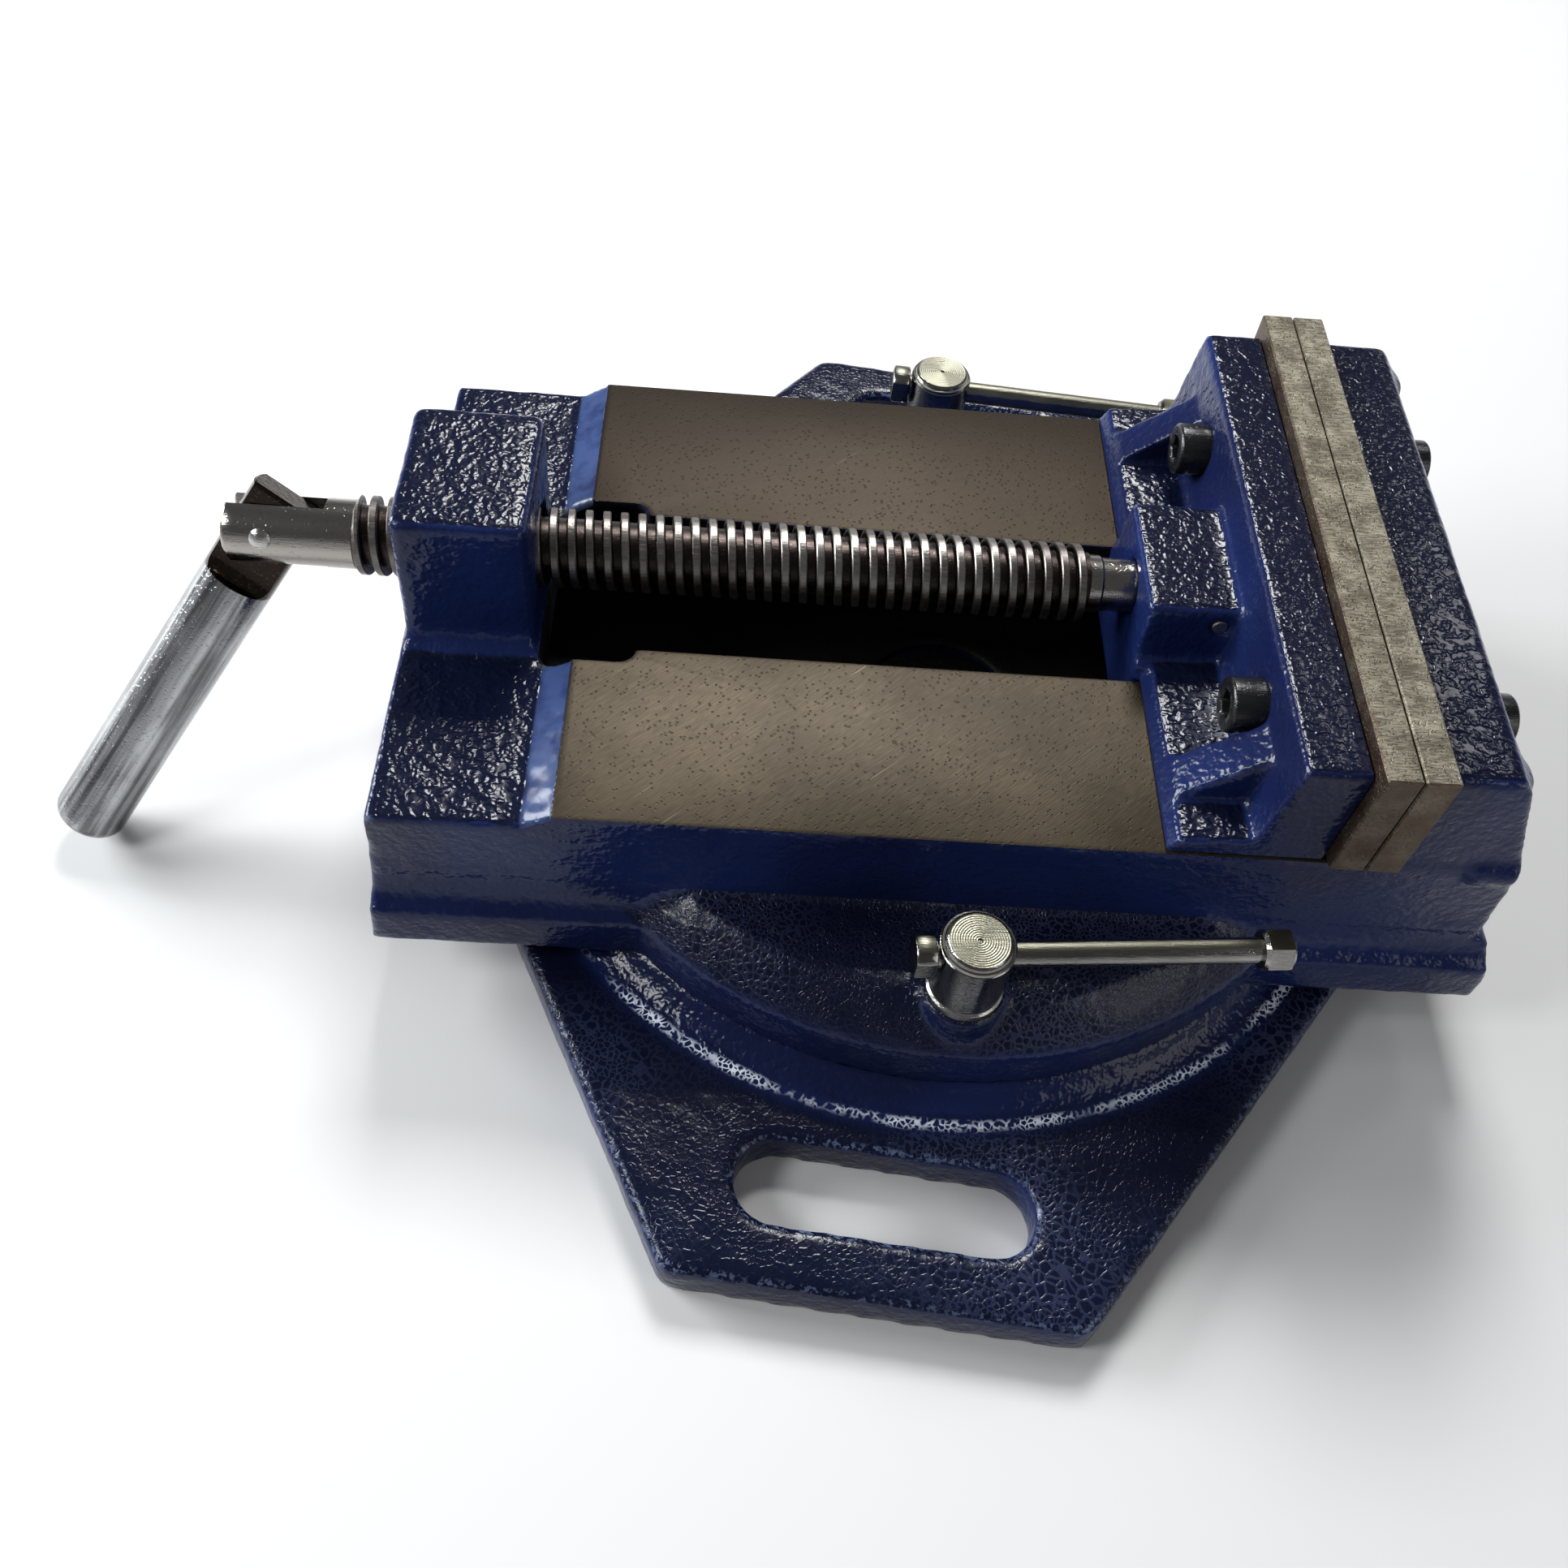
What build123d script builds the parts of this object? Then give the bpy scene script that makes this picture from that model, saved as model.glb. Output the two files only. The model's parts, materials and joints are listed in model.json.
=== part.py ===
"""Drill-press vise on a swivel base: 6 inch jaws, square-thread lead screw, folding handle.

Millimetres, +Z up. The origin is on the swivel axis at the underside of the base, the screw
runs along X and the fixed jaw is at +X. The jaws are modelled closed.
"""
import os
from math import cos, radians, sin

from build123d import *

os.makedirs("parts", exist_ok=True)

# ---------------------------------------------------------------- driving dimensions
jaw_length = 152.4        # along Y, a 6 inch vise
jaw_plate_height = 33.5
jaw_seat_x = 93.9         # face of the fixed jaw casting
jaw_plate_thickness = 7.85
jaw_gap = 0.3             # left between the closed plates
rail_top = 68.7
rail_half_width = 73.0
rail_start_x = -94.5
body_start_x = -136.3
cast_top = 64.3           # the unmachined top to the left of the rails
slot_half_width = 22.3
slot_end_x = 88.0

screw_z = 77.9
thread_radius = 9.525     # 3/4 inch
thread_pitch = 25.4 / 6
thread_depth = 2.3
thread_start_x = -148.5
thread_end_x = 28.9
journal_radius = 6.5

base_turn = -6.3          # degrees that the base stands turned under the vise
plate_thickness = 12.0
boss_top = 17.9
boss_radius = 107.0
disc_radius = 107.7
disc_bottom = 18.2
clamp_radius = 94.8       # from the swivel axis to each clamp bolt

slide_gap = 0.3           # between moving bodies that only face each other
fit_gap = 0.06            # radial running clearance

handle_radius = 8.8
handle_length = 99.0      # pivot to tip
handle_fold = 57.0        # degrees from in line with the screw
screw_turn = 28.0         # degrees that the fork's slot leans towards the front


def save(piece, label):
    """Name a finished piece and write its STEP file."""
    piece.part.label = label
    export_step(piece.part, f"parts/{label}.step")


# ---------------------------------------------------------------- swivel base
plate_end_y = 158.6
plate_end_half = 48.0
plate_side_x = 126.0
plate_side_half = 37.0
plate_corner = 6.0
plate_edge = 1.2
foot_radius = 118.0
mount_slot_y = 134.0
mount_slot_length = 70.0
mount_slot_width = 20.0
spigot_radius = 20.0
spigot_top = 29.0
t_neck = 11.6
t_width = 21.0
t_floor = 3.2
t_shelf = 11.0

plate_outline = [
    (plate_end_half, -plate_end_y),
    (plate_side_x, -plate_side_half),
    (plate_side_x, plate_side_half),
    (plate_end_half, plate_end_y),
    (-plate_end_half, plate_end_y),
    (-plate_side_x, plate_side_half),
    (-plate_side_x, -plate_side_half),
    (-plate_end_half, -plate_end_y),
]
base_plane = Plane.XY.rotated((0, 0, base_turn))

with BuildPart() as swivel_base:
    with BuildSketch(base_plane):
        Polygon(*plate_outline, align=None)
        fillet(vertices(), plate_corner)
    extrude(amount=plate_thickness)
    chamfer(faces().sort_by(Axis.Z)[-1].edges(), plate_edge)
    # round boss with a wide cove down to the plate
    with BuildSketch(Plane.XZ):
        with BuildLine():
            cove_low = (foot_radius, plate_thickness)
            cove_high = (boss_radius, boss_top)
            Polyline((0, plate_thickness / 2), (0, boss_top), cove_high)
            RadiusArc(cove_high, cove_low, -13.0)
            Polyline(cove_low, (foot_radius, plate_thickness / 2), (0, plate_thickness / 2))
        make_face()
    revolve(axis=Axis.Z)
    with BuildSketch(Plane.XY.offset(boss_top)):
        Circle(spigot_radius)
    extrude(amount=spigot_top - boss_top)
    chamfer(faces().sort_by(Axis.Z)[-1].edges(), 1.0)
    # ring-shaped T-slot with one round entry, hidden under the vise
    with BuildSketch(Plane.XZ):
        with Locations((clamp_radius, (t_floor + t_shelf) / 2)):
            Rectangle(t_width, t_shelf - t_floor)
        with Locations((clamp_radius, (t_shelf + boss_top) / 2)):
            Rectangle(t_neck, boss_top - t_shelf + 2)
    revolve(axis=Axis.Z, mode=Mode.SUBTRACT)
    with BuildSketch(base_plane.offset(t_floor)):
        with Locations((clamp_radius, 0)):
            Circle(t_width / 2 + 0.8)
    extrude(amount=boss_top, mode=Mode.SUBTRACT)
    # the two slots that bolt it to a drill-press table
    with BuildSketch(base_plane):
        with Locations((0, -mount_slot_y), (0, mount_slot_y)):
            SlotOverall(mount_slot_length, mount_slot_width)
    extrude(amount=plate_thickness, mode=Mode.SUBTRACT)
save(swivel_base, "swivel_base")

# ---------------------------------------------------------------- vise body
flange_half = 77.3
flange_top = 31.6
wall_foot_half = 72.0
wall_foot_z = 42.0
flange_end_x = 134.0
flange_edge = 0.8
wall_end_x = 122.0        # under the fixed jaw only the flange runs on from here
cavity_floor = 30.0
rail_underside = 52.0
cavity_half = 60.0
cavity_start_x = -124.0
cavity_end_x = 106.0
slot_start_x = -102.5
slot_wide_half = 26.4
slot_wide_end_x = -80.0
ramp_start_x = -102.0
housing_start_x = -135.3
housing_end_x = -104.2
housing_half = 20.2
housing_top = 102.2
housing_flare = 7.0
disc_crown = 41.0
disc_shoulder_radius = 97.0
disc_rim_z = 31.9
disc_crown_radius = 45.0
pad_top = 42.8
pad_radius = 10.0
jaw_top = 100.5
fixed_jaw_back_x = 110.8
fixed_jaw_half = 72.2
lug_x = 109.0
lug_y = 64.4
lug_radius = 7.6
lug_top = 96.5
stub_z = 67.5
screw_hole_y = 42.7
screw_hole_z = 85.9
cap_head_radius = 6.5
cap_shank_radius = 4.0
spot_face_x = 112.0
bolt_radius = 5.0

body_section = [
    (-rail_half_width, rail_top),
    (-wall_foot_half, wall_foot_z),
    (-wall_foot_half - 0.8, flange_top + 4.2),
    (-wall_foot_half - 2.4, flange_top + 1.2),
    (-flange_half, flange_top),
    (-flange_half, disc_bottom),
    (flange_half, disc_bottom),
    (flange_half, flange_top),
    (wall_foot_half + 2.4, flange_top + 1.2),
    (wall_foot_half + 0.8, flange_top + 4.2),
    (wall_foot_half, wall_foot_z),
    (rail_half_width, rail_top),
]
left_trim = [
    (body_start_x - 10, rail_top + 1),
    (rail_start_x, rail_top + 1),
    (rail_start_x, rail_top),
    (ramp_start_x, cast_top),
    (body_start_x, cast_top),
    (body_start_x - 3.5, disc_bottom),
    (body_start_x - 10, disc_bottom),
]
right_trim = [
    (wall_end_x, rail_top + 1),
    (wall_end_x, wall_foot_z),
    (wall_end_x + 9.5, 37.0),
    (flange_end_x - 1, flange_top),
    (flange_end_x + 1, disc_bottom),
    (flange_end_x + 20, disc_bottom),
    (flange_end_x + 20, rail_top + 1),
]
fixed_jaw_side = [
    (jaw_seat_x, rail_top - 4),
    (jaw_seat_x, jaw_top),
    (fixed_jaw_back_x, jaw_top),
    (113.5, 97.0),
    (125.5, 66.0),
    (127.6, wall_foot_z),
    (120.0, 38.0),
    (jaw_seat_x, 38.0),
]

with BuildPart() as vise_body:
    with BuildSketch(Plane.YZ.offset(body_start_x - 4)):
        Polygon(*body_section, align=None)
    extrude(amount=flange_end_x - body_start_x + 4)
    with BuildSketch(Plane.XZ):
        Polygon(*left_trim, align=None)
    extrude(amount=flange_half + 1, both=True, mode=Mode.SUBTRACT)
    with BuildSketch(Plane.XZ):
        Polygon(*right_trim, align=None)
    extrude(amount=flange_half + 1, both=True, mode=Mode.SUBTRACT)
    fillet(edges().filter_by(Axis.X).filter_by_position(
        Axis.Z, flange_top - 0.1, flange_top + 0.1), flange_edge)
    # fixed jaw
    with BuildSketch(Plane.XZ):
        Polygon(*fixed_jaw_side, align=None)
    extrude(amount=fixed_jaw_half, both=True)
    # round corner lugs behind the fixed jaw
    for side in (-1, 1):
        with BuildSketch(Plane.XY.offset(60)):
            with Locations((lug_x, side * lug_y)):
                Circle(lug_radius)
        extrude(amount=lug_top - 60)
        fillet(faces().filter_by(Plane.XY).group_by(Axis.Z)[-2].edges().filter_by(GeomType.CIRCLE), 2.5)
    # swivel disc
    with BuildSketch(Plane.XZ):
        with BuildLine():
            Polyline((0, disc_bottom), (0, disc_crown), (disc_shoulder_radius, disc_crown))
            RadiusArc((disc_shoulder_radius, disc_crown), (disc_radius - 0.6, disc_rim_z), disc_crown_radius)
            Polyline((disc_radius - 0.6, disc_rim_z), (disc_radius, disc_rim_z - 1.2),
                     (disc_radius, disc_bottom), (0, disc_bottom))
        make_face()
    revolve(axis=Axis.Z)
    # pads under the clamp nuts
    with BuildSketch(Plane.XY.offset(disc_bottom + 2)):
        with Locations((0, -clamp_radius), (0, clamp_radius)):
            Circle(pad_radius)
    extrude(amount=pad_top - disc_bottom - 2)
    # housing that the screw is threaded through
    with BuildSketch(Plane.XY.offset(cast_top - 4)):
        with Locations(((housing_start_x + housing_end_x) / 2, 0)):
            Rectangle(housing_end_x - housing_start_x, 2 * housing_half)
    extrude(amount=housing_top - cast_top + 4)
    fillet(edges().filter_by(Axis.Z).filter_by_position(Axis.Z, 80, 90).filter_by_position(
        Axis.X, housing_start_x - 1, housing_end_x + 1), 2.5)
    fillet(faces().sort_by(Axis.Z)[-1].edges(), 2.0)
    for side in (-1, 1):
        with BuildSketch(Plane.YZ.offset(housing_start_x)):
            foot = side * (housing_half - 0.5)
            toe = side * (housing_half + housing_flare)
            with BuildLine():
                Line((foot, cast_top - 1), (toe, cast_top - 1))
                RadiusArc((toe, cast_top), (foot, cast_top + housing_flare), side * housing_flare)
                Line((toe, cast_top - 1), (toe, cast_top))
                Line((foot, cast_top + housing_flare), (foot, cast_top - 1))
            make_face()
        extrude(amount=housing_end_x - housing_start_x)
    # small cast stub low on the front of the fixed jaw
    with BuildSketch(Plane.YZ.offset(fixed_jaw_back_x + 2.2)):
        with Locations((-fixed_jaw_half - 0.4, stub_z)):
            Ellipse(2.4, 3.2)
    extrude(amount=10.0)
    # slot between the rails, wider and rounded beside the housing
    with BuildSketch(Plane.XY.offset(cavity_floor)):
        with Locations(((slot_start_x + slot_end_x) / 2, 0)):
            Rectangle(slot_end_x - slot_start_x, 2 * slot_half_width)
        with Locations(((slot_start_x + slot_wide_end_x) / 2, 0)):
            RectangleRounded(slot_wide_end_x - slot_start_x, 2 * slot_wide_half, 3.8)
    extrude(amount=rail_top, mode=Mode.SUBTRACT)
    # hollow under the rails for the keeper plate
    with BuildSketch(Plane.XY.offset(cavity_floor)):
        with Locations(((cavity_start_x + cavity_end_x) / 2, 0)):
            RectangleRounded(cavity_end_x - cavity_start_x, 2 * cavity_half, 8)
    extrude(amount=rail_underside - cavity_floor, mode=Mode.SUBTRACT)
    # bore for the base's spigot, holes for the clamp bolts
    with BuildSketch(Plane.XY.offset(disc_bottom - 1)):
        Circle(spigot_radius + fit_gap)
        with Locations((0, -clamp_radius), (0, clamp_radius)):
            Circle(bolt_radius + 0.5)
    extrude(amount=cavity_floor - disc_bottom + 2, mode=Mode.SUBTRACT)
    with BuildSketch(Plane.XY.offset(disc_bottom)):
        with Locations((0, -clamp_radius), (0, clamp_radius)):
            Circle(bolt_radius + 0.5)
    extrude(amount=pad_top, mode=Mode.SUBTRACT)
    # screw bore through the housing; the real thread is left plain
    with BuildSketch(Plane.YZ.offset(housing_start_x - 8)):
        with Locations((0, screw_z)):
            Circle(thread_radius + fit_gap)
    extrude(amount=housing_end_x - housing_start_x + 12, mode=Mode.SUBTRACT)
    # spot faces and holes for the fixed plate's screws
    with BuildSketch(Plane.YZ.offset(spot_face_x)):
        with Locations((-screw_hole_y, screw_hole_z), (screw_hole_y, screw_hole_z)):
            Circle(cap_head_radius + 1.2)
    extrude(amount=14, mode=Mode.SUBTRACT)
    with BuildSketch(Plane.YZ.offset(jaw_seat_x - 1)):
        with Locations((-screw_hole_y, screw_hole_z), (screw_hole_y, screw_hole_z)):
            Circle(cap_shank_radius + 0.25)
    extrude(amount=spot_face_x - jaw_seat_x + 2, mode=Mode.SUBTRACT)
save(vise_body, "vise_body")


# ---------------------------------------------------------------- jaw plates and their screws
plate_bottom = 71.0
plate_screw_depth = 5.5
cap_head_length = 8.5
socket_across = 6.0
socket_depth = 4.0
hole_places = [(-screw_hole_y, screw_hole_z), (screw_hole_y, screw_hole_z)]


def jaw_plate(back_x, toward):
    """A ground plate whose back is at back_x; toward is the way its gripping face looks."""
    with BuildPart() as plate:
        with BuildSketch(Plane.YZ.offset(back_x)):
            with Locations((0, plate_bottom + jaw_plate_height / 2)):
                Rectangle(jaw_length, jaw_plate_height)
        extrude(amount=toward * jaw_plate_thickness)
        chamfer(edges(), 0.4)
        with BuildSketch(Plane.YZ.offset(back_x)):
            with Locations(*hole_places):
                Circle(cap_shank_radius + fit_gap)
        extrude(amount=toward * (plate_screw_depth + 0.5), mode=Mode.SUBTRACT)
    return plate


def cap_screws(head_seat_x, tip_x):
    """Two socket-head cap screws along X, their heads on the side away from the tips."""
    toward = 1 if tip_x > head_seat_x else -1
    with BuildPart() as screws:
        with BuildSketch(Plane.YZ.offset(head_seat_x)):
            with Locations(*hole_places):
                Circle(cap_head_radius)
        extrude(amount=-toward * cap_head_length)
        chamfer(edges().filter_by(GeomType.CIRCLE), 0.6)
        with BuildSketch(Plane.YZ.offset(head_seat_x)):
            with Locations(*hole_places):
                Circle(cap_shank_radius)
        extrude(amount=tip_x - head_seat_x)
        with BuildSketch(Plane.YZ.offset(head_seat_x - toward * cap_head_length)):
            with Locations(*hole_places):
                RegularPolygon(socket_across / 2, 6, major_radius=False)
        extrude(amount=toward * socket_depth, mode=Mode.SUBTRACT)
    return screws


movable_plate_back_x = jaw_seat_x - 2 * jaw_plate_thickness - jaw_gap
jaw_rear_x = 63.4
save(jaw_plate(jaw_seat_x, -1), "fixed_jaw_plate")
save(jaw_plate(movable_plate_back_x, 1), "movable_jaw_plate")
save(cap_screws(spot_face_x, jaw_seat_x - plate_screw_depth), "fixed_jaw_screws")
save(cap_screws(jaw_rear_x, movable_plate_back_x + plate_screw_depth), "movable_jaw_screws")

# ---------------------------------------------------------------- movable jaw
jaw_foot_z = rail_top + slide_gap
jaw_foot_x = 41.7
foot_top = 73.6
jaw_half = 72.5
jaw_block_top = 100.4
boss_half = 18.3
boss_rear_x = 40.0
screw_boss_top = 89.6
tongue_half = slot_half_width - slide_gap
tongue_bottom = 51.7
rib_y = 55.5
rib_half = 5.5
pin_x = 58.0
pin_z = 84.5
pin_radius = 2.0
bore_end_x = 65.0
keeper_thickness = 8.0
keeper_half = 44.0
keeper_start_x = 44.0
keeper_end_x = 76.0
keeper_screw_x = (52.0, 68.0)

jaw_side = [
    (jaw_foot_x, jaw_foot_z),
    (jaw_foot_x + 2.6, foot_top),
    (jaw_rear_x - 2.6, foot_top + 1.0),
    (jaw_rear_x, jaw_block_top),
    (movable_plate_back_x, jaw_block_top),
    (movable_plate_back_x, jaw_foot_z),
]

with BuildPart() as movable_jaw:
    with BuildSketch(Plane.XZ):
        Polygon(*jaw_side, align=None)
    extrude(amount=jaw_half, both=True)
    fillet(faces().sort_by(Axis.Z)[-1].edges().sort_by(Axis.X)[0:-1], 1.4)
    # ribs from the block down to the foot
    for side in (-1, 1):
        with BuildSketch(Plane.XZ.offset(-side * rib_y)):
            Polygon((jaw_foot_x + 2.0, foot_top - 1), (jaw_foot_x + 3.2, foot_top + 1.2),
                    (jaw_rear_x + 2, 92.5), (jaw_rear_x + 2, foot_top - 1), align=None)
        extrude(amount=rib_half, both=True)
    # boss around the end of the screw
    with BuildSketch(Plane.YZ.offset(boss_rear_x)):
        with BuildLine():
            Polyline((-boss_half - 1.5, foot_top - 4), (-boss_half, screw_boss_top), (boss_half, screw_boss_top),
                     (boss_half + 1.5, foot_top - 4), (-boss_half - 1.5, foot_top - 4))
        make_face()
    extrude(amount=jaw_rear_x - boss_rear_x + 2)
    fillet(edges().filter_by(Axis.X).filter_by_position(
        Axis.Z, screw_boss_top - 0.5, screw_boss_top + 0.5), 2.5)
    # tongue that guides it in the slot
    with BuildSketch(Plane.XY.offset(tongue_bottom)):
        with Locations(((boss_rear_x + movable_plate_back_x) / 2, 0)):
            Rectangle(movable_plate_back_x - boss_rear_x, 2 * tongue_half)
    extrude(amount=foot_top - tongue_bottom)
    # blind bore for the screw's journal, cross hole for its pin
    with BuildSketch(Plane.YZ.offset(boss_rear_x - 1)):
        with Locations((0, screw_z)):
            Circle(journal_radius + fit_gap)
    extrude(amount=bore_end_x - boss_rear_x + 1, mode=Mode.SUBTRACT)
    with BuildSketch(Plane.XZ):
        with Locations((pin_x, pin_z)):
            Circle(pin_radius + 0.02)
    extrude(amount=boss_half + 4, both=True, mode=Mode.SUBTRACT)
    with BuildSketch(Plane.YZ.offset(jaw_rear_x - 4)):
        with Locations(*hole_places):
            Circle(cap_head_radius + 0.4)
    extrude(amount=4, mode=Mode.SUBTRACT)
    with BuildSketch(Plane.YZ.offset(jaw_rear_x - 1)):
        with Locations(*hole_places):
            Circle(cap_shank_radius + 0.25)
    extrude(amount=movable_plate_back_x - jaw_rear_x + 2, mode=Mode.SUBTRACT)
    with BuildSketch(Plane.XY.offset(tongue_bottom)):
        with Locations(*[(x, 0) for x in keeper_screw_x]):
            Circle(cap_shank_radius + fit_gap)
    extrude(amount=14.5, mode=Mode.SUBTRACT)
save(movable_jaw, "movable_jaw")

with BuildPart() as keeper_plate:
    with BuildSketch(Plane.XY.offset(tongue_bottom - keeper_thickness)):
        with Locations(((keeper_start_x + keeper_end_x) / 2, 0)):
            RectangleRounded(keeper_end_x - keeper_start_x, 2 * keeper_half, 3)
    extrude(amount=keeper_thickness)
    with BuildSketch(Plane.XY.offset(tongue_bottom - keeper_thickness)):
        with Locations(*[(x, 0) for x in keeper_screw_x]):
            Circle(cap_shank_radius + 0.25)
    extrude(amount=keeper_thickness, mode=Mode.SUBTRACT)
save(keeper_plate, "keeper_plate")

keeper_seat_z = tongue_bottom - keeper_thickness
with BuildPart() as keeper_screws:
    with BuildSketch(Plane.XY.offset(keeper_seat_z)):
        with Locations(*[(x, 0) for x in keeper_screw_x]):
            Circle(cap_head_radius)
    extrude(amount=-cap_head_length)
    chamfer(edges().filter_by(GeomType.CIRCLE), 0.6)
    with BuildSketch(Plane.XY.offset(keeper_seat_z)):
        with Locations(*[(x, 0) for x in keeper_screw_x]):
            Circle(cap_shank_radius)
    extrude(amount=keeper_thickness + 13.5)
    with BuildSketch(Plane.XY.offset(keeper_seat_z - cap_head_length)):
        with Locations(*[(x, 0) for x in keeper_screw_x]):
            RegularPolygon(socket_across / 2, 6, major_radius=False)
    extrude(amount=socket_depth, mode=Mode.SUBTRACT)
save(keeper_screws, "keeper_screws")

with BuildPart() as retaining_pin:
    with BuildSketch(Plane.XZ):
        with Locations((pin_x, pin_z)):
            Circle(pin_radius)
    extrude(amount=boss_half, both=True)
    chamfer(edges().filter_by(GeomType.CIRCLE), 0.3)
save(retaining_pin, "retaining_pin")

# ---------------------------------------------------------------- lead screw
fork_radius = 8.35
fork_start_x = -178.5
fork_slot_end_x = -154.9
fork_slot_half = 4.4
pivot_x = -169.2
pivot_pin_radius = 2.5
groove_radius = 4.3
groove_half = pin_radius + slide_gap
screw_tip_x = bore_end_x - slide_gap
root_radius = thread_radius - thread_depth
crest_share = 0.42

# the slot leans by screw_turn, so the fork is drawn on a plane turned about the screw's axis
lean = radians(screw_turn)
pivot = Vector(pivot_x, 0, screw_z)
pin_way = Vector(0, -cos(lean), sin(lean))
fork_plane = Plane(origin=pivot, x_dir=(1, 0, 0), z_dir=pin_way)

with BuildPart() as lead_screw:
    # turned blank
    with BuildSketch(Plane.XZ):
        with BuildLine():
            Polyline(
                (fork_start_x, screw_z),
                (fork_start_x, screw_z + fork_radius - 0.8),
                (fork_start_x + 0.8, screw_z + fork_radius),
                (thread_start_x - 1.0, screw_z + fork_radius),
                (thread_start_x, screw_z + root_radius),
                (thread_end_x + 3, screw_z + root_radius),
                (thread_end_x + 3.8, screw_z + journal_radius),
                (pin_x - groove_half, screw_z + journal_radius),
                (pin_x - groove_half, screw_z + groove_radius),
                (pin_x + groove_half, screw_z + groove_radius),
                (pin_x + groove_half, screw_z + journal_radius),
                (screw_tip_x - 0.8, screw_z + journal_radius),
                (screw_tip_x, screw_z + journal_radius - 0.8),
                (screw_tip_x, screw_z),
                close=True,
            )
        make_face()
    revolve(axis=Axis((0, 0, screw_z), (1, 0, 0)))
    with BuildSketch(fork_plane):
        with Locations(((fork_start_x - 1 + fork_slot_end_x) / 2 - pivot_x, 0)):
            Rectangle(fork_slot_end_x - fork_start_x + 1, 4 * fork_radius)
    extrude(amount=fork_slot_half, both=True, mode=Mode.SUBTRACT)
    with BuildSketch(fork_plane):
        Circle(pivot_pin_radius + 0.02)
    extrude(amount=2 * fork_radius, both=True, mode=Mode.SUBTRACT)

with BuildPart() as thread:
    helix_start = thread_start_x + thread_pitch * crest_share / 2
    helix_length = thread_end_x - thread_start_x - thread_pitch * crest_share
    with BuildLine() as helix_path:
        Helix(thread_pitch, helix_length, thread_radius - thread_depth / 2,
              center=(helix_start, 0, screw_z), direction=(1, 0, 0))
    tooth_plane = Plane(origin=helix_path.line @ 0, z_dir=helix_path.line % 0,
                        x_dir=(helix_path.line @ 0) - Vector(helix_start, 0, screw_z))
    with BuildSketch(tooth_plane):
        Rectangle(thread_depth + 0.3, thread_pitch * crest_share)
    sweep(path=helix_path.line, is_frenet=True)
lead_screw.part = lead_screw.part + thread.part
save(lead_screw, "lead_screw")

# ---------------------------------------------------------------- folding handle and its pin
lug_half = 4.0
lug_end = 9.8
shoulder_at = 12.0
shoulder_radius = 3.0
tip_round = 4.5
pin_head_radius = 3.3
pin_head_rise = 0.9
fold = radians(handle_fold)
handle_way = Vector(-cos(fold), -sin(fold) * sin(lean), -sin(fold) * cos(lean))
handle_plane = Plane(origin=pivot, x_dir=pin_way, z_dir=handle_way)

with BuildPart() as handle_pin:
    with BuildSketch(fork_plane):
        Circle(pivot_pin_radius)
    extrude(amount=fork_radius, both=True)
    with BuildSketch(fork_plane.offset(fork_radius - 0.25), fork_plane.offset(-fork_radius + 0.25 - pin_head_rise)):
        Circle(pin_head_radius)
    extrude(amount=pin_head_rise)
save(handle_pin, "handle_pin")

with BuildPart() as screw_handle:
    with BuildSketch(handle_plane.offset(-lug_end)):
        Circle(handle_radius)
    extrude(amount=handle_length + lug_end)
    fillet(edges().filter_by(GeomType.CIRCLE).sort_by(Axis.Z)[0], tip_round)
    # flats that fit the fork's slot, with the cutter's round run-out at the shoulder
    with BuildSketch(Plane(origin=pivot, x_dir=pin_way, z_dir=pin_way.cross(handle_way))):
        with BuildLine():
            deep = handle_radius + 2
            Line((lug_half, lug_end + 2), (lug_half, -shoulder_at))
            Line((lug_half, lug_end + 2), (deep, lug_end + 2))
            Line((deep, lug_end + 2), (deep, -shoulder_at - shoulder_radius))
            Line((deep, -shoulder_at - shoulder_radius), (lug_half + shoulder_radius, -shoulder_at - shoulder_radius))
            RadiusArc((lug_half, -shoulder_at), (lug_half + shoulder_radius, -shoulder_at - shoulder_radius),
                      -shoulder_radius)
        make_face()
        mirror(about=Plane.YZ)
    extrude(amount=deep, both=True, mode=Mode.SUBTRACT)
    with BuildSketch(fork_plane):
        Circle(pivot_pin_radius + fit_gap)
    extrude(amount=handle_radius, both=True, mode=Mode.SUBTRACT)
save(screw_handle, "screw_handle")

# ---------------------------------------------------------------- clamp bolts, washers, nuts and bars
bolt_head = 17.0
bolt_head_height = 6.2
bolt_head_z = t_floor + 0.8
washer_radius = 8.9
washer_thickness = 1.8
nut_radius = 8.55
nut_top = 63.6
nut_bottom = pad_top + washer_thickness + 0.2
bar_z = 57.4
bar_radius = 3.0
bar_head_start = 8.9
left_head_length = 5.0
left_head_radius = 5.2
left_head_flat = 4.2
right_head_length = 7.0
right_head_across = 9.0
bar_end = 71.7
bolt_top = bar_z - bar_radius - 0.7
bolt_places = [(0, -clamp_radius), (0, clamp_radius)]
bar_turn = {"near": 4.5, "far": -4.5}   # degrees that each bar stands off the X direction

with BuildPart() as t_bolts:
    with BuildSketch(Plane.XY.offset(bolt_head_z)):
        with Locations(*bolt_places):
            RectangleRounded(bolt_head, bolt_head, 1.0)
    extrude(amount=bolt_head_height)
    with BuildSketch(Plane.XY.offset(bolt_head_z)):
        with Locations(*bolt_places):
            Circle(bolt_radius)
    extrude(amount=bolt_top - bolt_head_z)
    chamfer(faces().sort_by(Axis.Z)[-2:].edges(), 0.8)
save(t_bolts, "t_bolts")

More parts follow.
